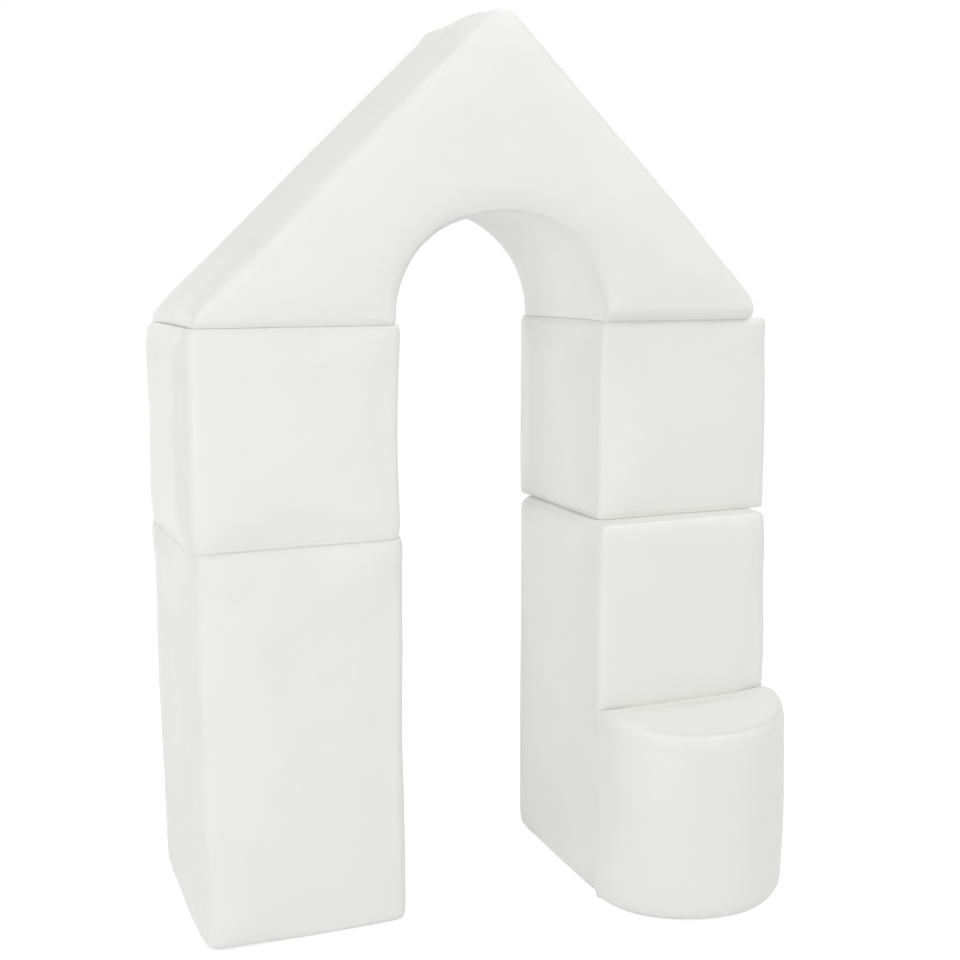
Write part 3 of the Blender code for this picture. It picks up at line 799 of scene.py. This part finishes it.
pullLook = {
    "wide": 0.0070,
    "long": 0.0300,
    "thick": 0.0014,
    "eyeWide": 0.0034,
    "eyeLong": 0.0076,
    "eyeCorners": (0.0005, 0.0008),
    "shoulder": 0.0012,
    "edgeRadius": 0.00030,
    "ribs": 4,
    "ribsFrom": 0.0036,
    "ribPitch": 0.0018,
    "rib": (0.0040, 0.0006, 0.0008),
    "ribRadius": 0.00020,
}


def makePull(middle):
    look = pullLook
    bm = bmesh.new()
    half = look["wide"] / 2
    top = look["thick"] / 2
    low = top - look["long"]
    # the plate's outline starts as its rounded end, spun from one corner
    corner = bm.verts.new((-half, 0, low + half))
    made = bmesh.ops.spin(bm, geom=[corner], cent=(0, 0, low + half), axis=(0, 1, 0), dvec=(0, 0, 0),
                          angle=-pi, steps=14)
    shoulder, flat = top - look["shoulder"], half * 0.8
    rest = [bm.verts.new((x, 0, z)) for x, z in (
        (half, shoulder), (flat, top), (-flat, top), (-half, shoulder))]
    around = vertsIn(made["geom_last"]) + rest + [corner]
    for a, b in zip(around, around[1:]):
        bm.edges.new((a, b))
    outer = bm.edges[:]
    eye = look["eyeWide"] / 2
    eyeTop = -look["thick"] / 2
    eyeLow = eyeTop - look["eyeLong"]
    upper, lower = look["eyeCorners"]
    ring = [bm.verts.new((x, 0, z)) for x, z in (
        (-eye + upper, eyeTop), (eye - upper, eyeTop), (eye, eyeTop - upper), (eye, eyeLow + lower),
        (eye - lower, eyeLow), (-eye + lower, eyeLow), (-eye, eyeLow + lower), (-eye, eyeTop - upper))]
    inner = [bm.edges.new((ring[i - 1], ring[i])) for i in range(len(ring))]
    bmesh.ops.bridge_loops(bm, edges=outer + inner)
    moveBy(bm, (0, -look["thick"] / 2, 0))
    drawOut(bm, bm.faces[:], (0, look["thick"], 0))
    faceOut(bm)
    sharp = [edge for edge in bm.edges if edge.calc_face_angle(0) > radians(60)]
    roundEdges(bm, sharp, look["edgeRadius"], 2)
    for side in (-1, 1):
        for number in range(look["ribs"]):
            height = low + look["ribsFrom"] + look["ribPitch"] * number
            roundedBar(bm, look["rib"], (0, side * look["thick"] / 2, height), look["ribRadius"])
    moveBy(bm, (0, zipLook["hingeHeight"], middle))
    return bm


def addZip(block):
    place, length, middle = zipFrame(block)
    for name, bm, material, body, slot in (
            ("tape", makeTape(length), zipTapeTwill, block, "zip_tape"),
            ("coil", makeCoil(length), zipNylon, block, "zip_tape"),
            ("slot_stitches", makeStitches(length), seamThread, block, "zip_tape"),
            ("slider", makeSlider(middle), zipNickel, block + "_zip_slider", "zip_metal"),
            ("pull", makePull(middle), zipNickel, block + "_zip_pull", "zip_metal")):
        bmesh.ops.transform(bm, matrix=place, verts=bm.verts)
        piece = placeMesh(block + "_" + name, bm, material)
        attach(piece, body)
        if name == "tape":
            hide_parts(block + "_zip")
        elif slot == "zip_metal":
            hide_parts(body)


def zipKeep(block, spot):
    # 0 beside the zip, where the cover stays flat, and 1 away from it
    place, length, middle = zipFrame(block)
    back = place.inverted() @ Matrix.Translation(spot)

    def share(point):
        at = back @ point
        beside = max(0.0, abs(at.x) - zipLook["slotWidth"] / 2)
        beyond = max(0.0, -at.z, at.z - length)
        away = hypot(beside, beyond) + max(0.0, abs(at.y) - zipLook["flatDeep"]) * 3
        return smoothStep((away - zipLook["flatBeside"]) / zipLook["flatFade"])

    return share


# Blocks: each is drawn about the place where it stands

def standsAt(block, skins, forward):
    # on a block's underside, and forward from the middle of its back
    boxes = [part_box(block + "_" + skin) for skin in skins]
    low = [min(box[0][i] for box in boxes) for i in range(3)]
    high = [max(box[1][i] for box in boxes) for i in range(3)]
    return Vector(((low[0] + high[0]) / 2, high[1] - forward, low[2]))


def endPanels(low, high):
    # the panels of a block whose seams run level round it, and the cuts that bound them
    gap = seamLook["gap"]
    return {
        "base_panel": ([((0, 0, low - gap), (0, 0, -1))], None),
        "side_band": ([((0, 0, low + gap), (0, 0, 1)), ((0, 0, high - gap), (0, 0, -1))], None),
        "top_panel": ([((0, 0, high + gap), (0, 0, 1))], None),
    }


def addFoam(form, block, spot, inset):
    # the foam block inside the cover takes the form itself
    form.normal_update()
    for vert, facing in [(vert, vert.normal.copy()) for vert in form.verts]:
        vert.co -= facing * inset
    piece = placeMesh(block + "_foam", form, openCellFoam, spot)
    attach(piece, block)
    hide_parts(block + "_core")


def addCovers(block, bm, panels, spot, shape=None):
    # each panel is cut from the worked form, and may keep only some of the faces between its cuts
    place, length, middle = zipFrame(block)
    for node, (cuts, belongs) in panels.items():
        panel = panelOf(bm, cuts)
        if belongs:
            others = [face for face in panel.faces if not belongs(face.calc_center_median())]
            bmesh.ops.delete(panel, geom=others, context="FACES")
        if node in ("side_band", "back_panel"):
            openSlot(panel, Matrix.Translation(-spot) @ place, length)
        if shape:
            shape(panel)
        keepCrisp(panel)
        cover = placeMesh(block + "_" + node + "_cover", panel, coverVinyl, spot)
        addModifier(cover, "SOLIDIFY", thickness=seamLook["wall"], offset=-1)
        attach(cover, block)
        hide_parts(block + "_" + node)
    bm.free()
    addZip(block)
    print(block, "made")


# Cubes and tall blocks
# press: what is pressed away below and above; bends: how far the sides bend in there, and over what height
# a pull: its place, its reach along X, Y and Z, and its move

boxLooks = {
    "left_tall": {
        "height": 0.580, "voxel": 0.008, "seed": 3.1, "press": (0.006, 0.011),
        "bends": ((0.0030, 0.006), (0.0006, 0.006)),
        "frontLeftRadius": 0.019,
        "pulls": [
            ((-0.15, 0.15, 0.0), (0.04, 0.11, 0.035), (0.007, 0, 0.009)),
            ((-0.15, 0.15, 0.58), (0.06, 0.10, 0.05), (-0.005, 0, 0)),
            ((-0.15, 0.15, 0.36), (0.06, 0.10, 0.20), (-0.005, 0, 0)),
            ((0.15, -0.15, 0.10), (0.06, 0.10, 0.16), (0.005, 0, 0)),
            ((0.15, -0.15, 0.45), (0.06, 0.10, 0.16), (0.004, 0, 0)),
            ((-0.13, -0.15, 0.0), (0.11, 0.08, 0.03), (0.001, 0.001, 0.009)),
            ((0.0, -0.15, 0.58), (0.30, 0.06, 0.05), (0, -0.006, 0)),
        ],
    },
    "right_tall": {
        "height": 0.580, "voxel": 0.008, "seed": 11.7, "press": (0.004, 0.010), "frontLimit": 0.1529,
        "bends": ((0.0025, 0.006), (0.0020, 0.012)),
        "frontLeftRadius": 0.009,
        "pulls": [
            ((0.15, -0.15, 0.35), (0.06, 0.12, 0.10), (0.006, 0, 0)),
            ((-0.15, 0.15, 0.0), (0.05, 0.10, 0.03), (0.003, 0, 0.004)),
            ((-0.15, 0.04, 0.58), (0.014, 0.22, 0.03), (0, 0, -0.0135)),
            ((0.15, -0.15, 0.57), (0.05, 0.10, 0.03), (-0.004, 0, 0)),
        ],
    },
    "left_cube": {
        "height": 0.300, "voxel": 0.007, "seed": 23.9, "press": (0.011, 0.011),
        "bends": ((0.0004, 0.006), (0.0006, 0.008)),
        "frontLeftRadius": 0.019,
        "pulls": [
            ((0.15, -0.15, 0.27), (0.06, 0.10, 0.08), (0.003, 0, 0)),
            ((0.15, -0.15, 0.03), (0.06, 0.10, 0.05), (0.002, 0, 0)),
            ((-0.15, 0.15, 0.07), (0.06, 0.10, 0.06), (-0.002, 0, 0)),
            ((0.0, -0.15, 0.30), (0.30, 0.06, 0.04), (0, -0.005, 0)),
            ((-0.15, 0.13, 0.30), (0.018, 0.08, 0.03), (0, 0, -0.014)),
        ],
    },
    "right_cube": {
        "height": 0.300, "voxel": 0.007, "seed": 37.3, "press": (0.011, 0.010),
        "bends": ((0.0006, 0.006), (0.0015, 0.010)),
        "frontLeftRadius": 0.010,
        "pulls": [
            ((0.15, -0.15, 0.09), (0.06, 0.12, 0.13), (0.003, 0, 0)),
            ((0.15, -0.15, 0.29), (0.06, 0.12, 0.05), (-0.006, 0, -0.001)),
            ((0.0, -0.15, 0.30), (0.30, 0.06, 0.04), (0, -0.006, 0)),
            ((-0.15, 0.0, 0.0), (0.03, 0.20, 0.012), (-0.0018, 0, 0)),
        ],
    },
}
boxShape = {
    "width": 0.3025,
    "depth": 0.300,
    "frontOut": 0.0015,
    "otherRadii": ((True, False, 0.009), (True, True, 0.014), (False, True, 0.014)),    # right, back, radius
    "rimRadius": 0.009,
    "frontLimit": 1.0,
    "passes": 1,
    "endPull": 0.002,
    "drawnBefore": 0.12,
    "fadeBefore": 0.14,
    "fadeOver": 0.1,
    "seamDrop": 0.0060,
    "foamInset": 0.0036,
    "unevenness": 0.0005,
}


def boxSolid(look):
    # the solid is a little too tall where it is pressed flat later
    bm = bmesh.new()
    low, high = look["press"]
    size = (look["width"], look["depth"] + look["frontOut"], look["height"] + low + high)
    bmesh.ops.create_cube(bm, size=1)
    scaleBy(bm, size)
    lift = (look["height"] + high - low) / 2
    moveBy(bm, (0, -look["frontOut"] / 2, lift))
    for right, back, radius in ((False, False, look["frontLeftRadius"]), *look["otherRadii"]):
        uprights = [edge for edge in bm.edges if runAlong(edge, 2) > 0.01
                    and (edge.verts[0].co.x > 0) == right and (edge.verts[0].co.y > 0) == back]
        roundEdges(bm, uprights, radius, 5)
    rims = [edge for edge in bm.edges if runAlong(edge, 2) < 1e-5]
    roundEdges(bm, rims, look["rimRadius"], 3)
    return bm


def drawEnds(point, look):
    # towards its ends a block's back left edge draws in
    middle = look["height"] / 2
    share = min(1.0, abs(point.z - middle) / middle)
    reach = look["endPull"] * share**4
    half = look["width"] / 2
    if point.x < 0:
        point.x -= reach * max(-1.0, point.x / half)
    if 0 < point.y < look["drawnBefore"]:
        point.y -= reach * point.y / half * smoothStep((look["fadeBefore"] - point.y) / look["fadeOver"])


def addBoxBlock(block):
    look = {**boxShape, **boxLooks[block]}
    spot = standsAt(block, ("side_band", "base_panel"), look["depth"] / 2)
    keep = zipKeep(block, spot)
    piece = softForm(block, boxSolid(look), look, keep)
    height, half = look["height"], look["width"] / 2
    ends = ((0, -1, look["bends"][0]), (height, 1, look["bends"][1]))
    limits = ((-1, -look["frontLimit"], 0), (1, 1, height))
    for vert in piece.data.vertices:
        point = pulled(vert.co, look["pulls"])
        drawEnds(point, look)
        uneven = unevenAt(point, look, keep)
        point.x += uneven * (1 if point.x > 0 else -1)
        point.y += uneven * (1 if point.y > 0 else -1)
        point.y = max(-look["frontLimit"], point.y)
        vert.co = point
    form = toBmesh(piece)
    for vert in form.verts:
        for level, side, (inset, reach) in ends:
            bendIn(vert.co, level, side, inset, reach, half)
    keepWithin(form.verts, *limits)
    addFoam(form, block, spot, look["foamInset"])
    bm = finerForm(piece)
    for level, side, (inset, reach) in ends:
        for vert in bm.verts:
            bendIn(vert.co, level, side, inset, reach, half)
        flatten(bm, level, side)
    low, high = look["seamDrop"], height - look["seamDrop"]
    for level in (low, high):
        workSeam(bm, level, 2, seamLook, look["seed"])
    keepWithin(bm.verts, *limits)
    addCovers(block, bm, endPanels(low, high), spot)


# The half-round seat

seatShape = {
    "width": 0.3025,
    "reach": 0.1375,
    "height": 0.2905,
    "cornerRadius": 0.006,
    "rimRadius": 0.010,
    "backRimRadius": 0.004,
    "baseRadius": 0.022,
    "voxel": 0.007,
    "passes": 1,
    "press": 0.004,
    "backPress": 0.006,
    "seamDrop": 0.0015,
    # the top seam's groove, with a strong painted shade along it
    "topSeam": {"depth": 0.0016, "width": 0.0012, "seamShadeStrength": 1.6, "seamShadeWidth": 0.0013},
    "baseSeam": 0.0055,
    "foamInset": 0.0034,
    "unevenness": 0.0005,
    "seed": 51.3,
    "domeFrom": 0.255,
    "domeOver": 0.034,
    "backRise": 0.0125,
    "riseFrom": 0.015,
    "riseOver": 0.12,
    "endDrop": 0.002,
    "endFrom": 0.10,
    "endOver": 0.05,
    "seamSides": (0.135, 0.05),
    "seamRear": (0.012, 0.03),
    "pulls": [
        ((-0.150, -0.005, 0.145), (0.05, 0.05, 0.40), (-0.0055, 0, 0)),
        ((0.125, -0.090, 0.110), (0.035, 0.035, 0.16), (0.004, -0.001, 0)),
        ((0.150, -0.020, 0.295), (0.035, 0.06, 0.024), (0.006, 0, 0.006)),
        ((0.150, -0.040, 0.000), (0.04, 0.07, 0.040), (0.003, 0, 0)),
        ((-0.150, -0.020, 0.295), (0.035, 0.05, 0.020), (-0.001, 0, 0.003)),
        ((-0.060, -0.120, 0.0), (0.10, 0.06, 0.03), (0, 0.001, 0.004)),
    ],
}


def seatSolid(look):
    # a drum cut in half, with a straight part and two rounded corners at its back
    bm = bmesh.new()
    radius = look["cornerRadius"]
    tall = look["height"] + look["press"]
    bmesh.ops.create_cone(bm, cap_ends=True, segments=128, radius1=1, radius2=1, depth=1)
    scaleBy(bm, (look["width"] / 2, look["reach"], tall))
    moveBy(bm, (0, -radius, tall / 2 - look["press"]))
    cutPlane(bm, (0, -radius, 0), (0, 1, 0), clearOuter=True)
    rim = [edge for edge in bm.edges if edge.is_boundary]
    back = bmesh.ops.contextual_create(bm, geom=rim)["faces"]
    drawOut(bm, back, (0, radius + look["backPress"], 0))
    bmesh.ops.dissolve_limit(bm, angle_limit=radians(0.5), verts=bm.verts, edges=bm.edges)
    faceOut(bm)
    corners = [edge for edge in bm.edges if runAlong(edge, 2) > 0.01
               and min(edge.verts[0].co.y, edge.verts[1].co.y) > -1e-4]
    roundEdges(bm, corners, radius * 0.98, 4)
    for top, atBack, width in ((True, False, look["rimRadius"]), (True, True, look["backRimRadius"]),
                               (False, False, look["baseRadius"])):
        rims = [edge for edge in bm.edges if runAlong(edge, 2) < 1e-5
                and (edge.verts[0].co.z > look["height"] - 1e-4 if top else edge.verts[0].co.z < 1e-4)
                and (min(edge.verts[0].co.y, edge.verts[1].co.y) > -1e-4) == atBack]
        roundEdges(bm, rims, width, 4)
    return bm


def domeTop(bm):
    # the top lies higher at its back, and the ends of the drum a little lower
    look = seatShape
    front = look["reach"] + look["cornerRadius"]
    for vert in bm.verts:
        x, y, z = vert.co
        if z > look["domeFrom"]:
            rise = look["backRise"] * smoothStep((y + front - look["riseFrom"]) / look["riseOver"])
            rise -= look["endDrop"] * smoothStep((abs(x) - look["endFrom"]) / look["endOver"])
            vert.co.z += rise * smoothStep((z - look["domeFrom"]) / look["domeOver"])


def seatSeam(at):
    # the top's seam, its groove and its painted shade, shows in front, fades at the ends and lies hidden at
    # the back
    (side, sideFade), (rear, rearFade) = seatShape["seamSides"], seatShape["seamRear"]
    return (0.1 + 0.9 * smoothStep((side - abs(at.x)) / sideFade)) * smoothStep((-rear - at.y) / rearFade)


def addSeat(block):
    look = seatShape
    spot = standsAt(block, ("side_band", "base_panel"), 0)
    spot.z = 0
    keep = zipKeep(block, spot)
    piece = softForm(block, seatSolid(look), look, keep)
    for vert in piece.data.vertices:
        point = pulled(vert.co, look["pulls"])
        outward = Vector((point.x, point.y + look["cornerRadius"], 0)).normalized()
        vert.co = point + outward * unevenAt(point, look, keep)
    form = toBmesh(piece)
    keepWithin(form.verts, most=(1, 0, 1))
    domeTop(form)
    addFoam(form, block, spot, look["foamInset"])
    bm = finerForm(piece)
    flatten(bm, 0, -1)
    cutPlane(bm, (0, 0, 0), (0, 1, 0))
    keepWithin(bm.verts, most=(1, 0, 1))
    low, high = look["baseSeam"], look["height"] - look["seamDrop"]
    workSeam(bm, low, 2, seamLook, look["seed"])
    workSeam(bm, high, 2, {**seamLook, **look["topSeam"]}, look["seed"], seatSeam)
    keepWithin(bm.verts, most=(1, 0, 1))
    addCovers(block, bm, endPanels(low, high), spot, domeTop)


# The roof with its arch

roofShape = {
    "span": 0.930,
    "rise": 0.4485,
    "depth": 0.300,
    "press": 0.010,
    "leftTipRadius": 0.0191,
    "rightTipRadius": 0.0145,
    "ridgeRadius": 0.022,
    "archRadius": 0.166,
    "leftFootRadius": 0.014,
    "rightFootRadius": 0.022,
    "rimRadius": 0.009,
    "archRimRadius": 0.004,
    "voxel": 0.0070,
    "passes": 1,
    "slopePasses": 10,
    "archPasses": 12,
    "leftArchPasses": 5,
    "softAbove": 0.03,       # where more passes round the front rims
    "softBefore": -0.08,
    "slopeZone": 0.05,
    "archZone": 0.04,
    "archTop": (-0.06, 0.11),
    "tipLimit": 0.4180,
    "tipSoftness": 0.005,
    "pulls": [
        ((-0.02, -0.15, 0.175), (0.12, 0.10, 0.07), (0, 0, -0.0115)),
        ((-0.166, -0.15, 0.0), (0.05, 0.10, 0.08), (-0.001, 0, 0)),
        ((0.0, -0.15, 0.43), (0.08, 0.06, 0.06), (0, 0, -0.003)),
        ((0.0, -0.02, 0.43), (0.06, 0.09, 0.05), (0, 0, 0.005)),
        ((0.0, 0.15, 0.43), (0.03, 0.08, 0.04), (0, 0, 0.0055)),
        ((-0.034, 0.15, 0.405), (0.026, 0.07, 0.035), (0.0035, 0, -0.0035)),
        ((0.39, 0.0, 0.05), (0.07, 0.40, 0.07), (-0.001, 0, -0.0035)),
    ],
    "leftFootBend": (0.005, 0.010),
    "rightFootBend": (0.012, 0.018),
    "archBend": (0.003, 0.022),
    "footZone": (0.15, 0.03),
    "bendBefore": 0.06,
    "bendOver": 0.07,
    "archEdge": 0.006,
    "archCorner": 0.032,
    "seamDrop": 0.0070,
    "footSeam": 0.0035,
    "foamInset": 0.0034,
    "unevenness": 0.0006,
    "seed": 71.9,
    # the front seam's groove, with a faint painted shade along it
    "frontSeam": {"depth": 0.0006, "pucker": 0.0002, "seamShadeStrength": 0.25},
    "seamShare": 0.06,
    "weltShare": -1.8,
    "weltArc": (40, 128),    # degrees round the arch
    "weltFade": 0.3,
}


def roofSolid(look):
    # the arch is spun from its left foot, the slopes join it, and the whole is drawn back to its depth
    bm = bmesh.new()
    radius = look["archRadius"]
    press = look["press"]
    lean = atan2(look["rise"], look["span"] / 2)
    half = look["span"] / 2 + press / tan(lean)
    leftSpring = bm.verts.new((-radius, 0, 0))
    made = bmesh.ops.spin(bm, geom=[leftSpring], cent=(0, 0, 0), axis=(0, 1, 0), dvec=(0, 0, 0),
                          angle=pi, steps=40)
    corners = ((radius, -press), (half, -press), (0, look["rise"]), (-half, -press), (-radius, -press))
    around = vertsIn(made["geom_last"]) + [bm.verts.new((x, 0, z)) for x, z in corners]
    for a, b in zip(around, around[1:] + [leftSpring]):
        bm.edges.new((a, b))
    front = bmesh.ops.contextual_create(bm, geom=bm.edges[:])["faces"]
    drawOut(bm, front, (0, look["depth"], 0))
    moveBy(bm, (0, -look["depth"] / 2, 0))
    faceOut(bm)
    rounds = (
        (lambda at: at.z > look["rise"] - 1e-4, look["ridgeRadius"] * tan(lean), 8),
        (lambda at: at.x < 1e-4 - half, look["leftTipRadius"] / tan(lean / 2), 5),
        (lambda at: at.x > half - 1e-4, look["rightTipRadius"] / tan(lean / 2), 6),
        (lambda at: at.z < -1e-4 and abs(at.x + radius) < 1e-4, look["leftFootRadius"], 4),
        (lambda at: at.z < -1e-4 and abs(at.x - radius) < 1e-4, look["rightFootRadius"], 4),
    )
    for chosen, width, steps in rounds:
        edges = [edge for edge in bm.edges if runAlong(edge, 1) > 0.01 and chosen(edge.verts[0].co)]
        roundEdges(bm, edges, width, steps)
    for atArch, width, steps in ((True, look["archRimRadius"], 2), (False, look["rimRadius"], 3)):
        rims = []
        for edge in bm.edges:
            middle = (edge.verts[0].co + edge.verts[1].co) / 2
            near = hypot(middle.x, max(0, middle.z)) < radius + look["archEdge"]
            if runAlong(edge, 1) < 1e-5 and near == atArch:
                rims.append(edge)
        roundEdges(bm, rims, width, steps)
    return bm


def roofPasses(look):
    lean = atan2(look["rise"], look["span"] / 2)

    def passes(point):
        slope = (look["rise"] - point.z - abs(point.x) * tan(lean)) * cos(lean)
        arch = hypot(point.x, point.z) - look["archRadius"]
        if point.z < look["softAbove"] or point.y > look["softBefore"]:
            return look["passes"]
        if slope < look["slopeZone"]:
            return look["slopePasses"]
        if arch < look["archZone"] and not look["archTop"][0] < point.x < look["archTop"][1]:
            return look["archPasses"] if point.x > 0 else look["leftArchPasses"]
        return look["passes"]

    return passes


def bendFront(point, look):
    # the front bends back towards the feet and the arch
    if point.y > -look["bendBefore"]:
        return
    inset, reach = look["leftFootBend"] if point.x < 0 else look["rightFootBend"]
    beside, over = look["footZone"]
    back = inset * smoothStep((abs(point.x) - beside) / over) * max(0.0, 1 - max(0.0, point.z) / reach)**2
    inset, reach = look["archBend"]
    off = max(0.0, hypot(point.x, point.z) - look["archRadius"])
    back += inset * max(0.0, 1 - off / reach)**2
    point.y += back * smoothStep((-point.y - look["bendBefore"]) / look["bendOver"])


def addRoof(block):
    look = roofShape
    skins = ("slope_cover", "front_panel", "back_panel", "left_foot_panel", "right_foot_panel")
    spot = standsAt(block, skins, look["depth"] / 2)
    keep = zipKeep(block, spot)
    piece = softForm(block, roofSolid(look), look, keep, roofPasses(look))
    soft = look["tipSoftness"]
    for vert in piece.data.vertices:
        point = pulled(vert.co, look["pulls"])
        if point.x > 0.3:
            point.x = look["tipLimit"] - soft * log(1 + exp((look["tipLimit"] - point.x) / soft))
        uneven = unevenAt(point, look, keep)
        point.y += uneven * (1 if point.y > 0 else -1)
        point.z += uneven
        vert.co = point
    form = toBmesh(piece)
    for vert in form.verts:
        bendFront(vert.co, look)
    keepWithin(form.verts)
    addFoam(form, block, spot, look["foamInset"])
    bm = finerForm(piece)
    half = look["depth"] / 2
    for vert in bm.verts:
        bendFront(vert.co, look)
    flatten(bm, 0, -1)
    drop = look["seamDrop"]
    front, back = drop - half, half - drop

    def seamOrWelt(point):
        # a raised welt over the arch, and elsewhere a faint seam with a faint painted shade
        off = hypot(point.x, point.z) - look["archRadius"]
        turn = atan2(point.z, point.x)
        first, last = (radians(angle) for angle in look["weltArc"])
        share = smoothStep((0.04 - off) / 0.02)
        share *= smoothStep((turn - first) / look["weltFade"]) * smoothStep((last - turn) / look["weltFade"])
        return look["seamShare"] + (look["weltShare"] - look["seamShare"]) * share

    workSeam(bm, front, 1, {**seamLook, **look["frontSeam"]}, look["seed"], seamOrWelt)
    workSeam(bm, back, 1, seamLook, look["seed"])
    keepWithin(bm.verts)
    gap = seamLook["gap"]
    foot = look["footSeam"]
    band = [((0, front + gap, 0), (0, 1, 0)), ((0, back - gap, 0), (0, -1, 0))]
    above = band + [((0, 0, foot + gap), (0, 0, 1))]
    below = band + [((0, 0, foot - gap), (0, 0, -1))]
    archLine = look["archRadius"] + look["archCorner"]
    panels = {
        "front_panel": ([((0, front - gap, 0), (0, -1, 0))], None),
        "back_panel": ([((0, back + gap, 0), (0, 1, 0))], None),
        "slope_cover": (above, lambda at: hypot(at.x, at.z) > archLine),
        "arch_lining": (above, lambda at: hypot(at.x, at.z) < archLine),
        "left_foot_panel": (below, lambda at: at.x < 0),
        "right_foot_panel": (below, lambda at: at.x > 0),
    }
    addCovers(block, bm, panels, spot)


for block in boxLooks:
    addBoxBlock(block)
addSeat("seat")
addRoof("roof")


# Floor, world and lamps

stageLook = {
    "size": 16.0,
    "colour": (0.86, 0.86, 0.86),
    "below": 0.0004,
    "lift": 0.60,            # lights the floor for the camera only
    "worldColour": (1, 1, 0.995),
    "worldLight": 0.5,
}


def seenDirectly(tree, *more):
    # 1 where the camera looks, straight or by a mirrored ray
    path = addNode(tree, "ShaderNodeLightPath")
    seen = path.outputs["Is Camera Ray"]
    for kind in ("Is Glossy Ray", *more):
        seen = mathOn(tree, "ADD", seen, path.outputs[kind], use_clamp=True)
    return seen


def makeStage(look):
    bm = bmesh.new()
    bmesh.ops.create_grid(bm, x_segments=1, y_segments=1, size=look["size"] / 2)
    material, tree, shader = newMaterial("paleFloor")
    feed(tree, shader, {
        "Base Color": (*look["colour"], 1),
        "Roughness": 0.9,
        "Specular IOR Level": 0.0,
        "Emission Color": (1, 1, 1, 1),
        "Emission Strength": mathOn(tree, "MULTIPLY", seenDirectly(tree), look["lift"]),
    })
    floor = placeMesh("floor", bm, material, (0, 0, -look["below"]))


def makeWorld(look):
    world = bpy.data.worlds.new("studio")
    bpy.context.scene.world = world
    world.use_nodes = True
    tree = world.node_tree
    plain = tree.nodes["Background"]
    feed(tree, plain, {"Color": (*look["worldColour"], 1), "Strength": look["worldLight"]})
    white = addNode(tree, "ShaderNodeBackground", {"Color": (1, 1, 1, 1), "Strength": 1.0})
    seen = seenDirectly(tree, "Is Transmission Ray")
    mix = addNode(tree, "ShaderNodeMixShader", {0: seen, 1: plain.outputs[0], 2: white.outputs[0]})
    feed(tree, tree.nodes["World Output"], {"Surface": mix.outputs[0]})


lamps = {
    "backLeft": {"place": (-2.6, 2.4, 1.3), "aim": (0, 0, 0.6), "size": 2.2, "watts": 5},
    "behindDoor": {"place": (-0.4, 2.6, 0.7), "aim": (0.2, 0, 0.5), "size": 1.6, "watts": 7},
    "frontRight": {"place": (1.6, -2.0, 3.1), "aim": (0.2, 0, 0.5), "size": 2.2, "watts": 34},
    "overhead": {"place": (0, -0.2, 3.8), "aim": (0, 0, 0.6), "size": 2.6, "watts": 22},
    "frontLeft": {"place": (-2.8, -2.4, 0.7), "aim": (0, 0, 0.6), "size": 2.0, "watts": 44},
}


def addLamp(name, look):
    data = bpy.data.lights.new(name, "AREA")
    setAll(data, shape="SQUARE", size=look["size"], energy=look["watts"])
    lamp = bpy.data.objects.new(name, data)
    place = Vector(look["place"])
    lamp.location = place
    lamp.rotation_euler = (Vector(look["aim"]) - place).to_track_quat("-Z", "Y").to_euler()
    bpy.context.scene.collection.objects.link(lamp)


makeStage(stageLook)
makeWorld(stageLook)
for name, look in lamps.items():
    addLamp(name, look)
print("stage and lamps made")
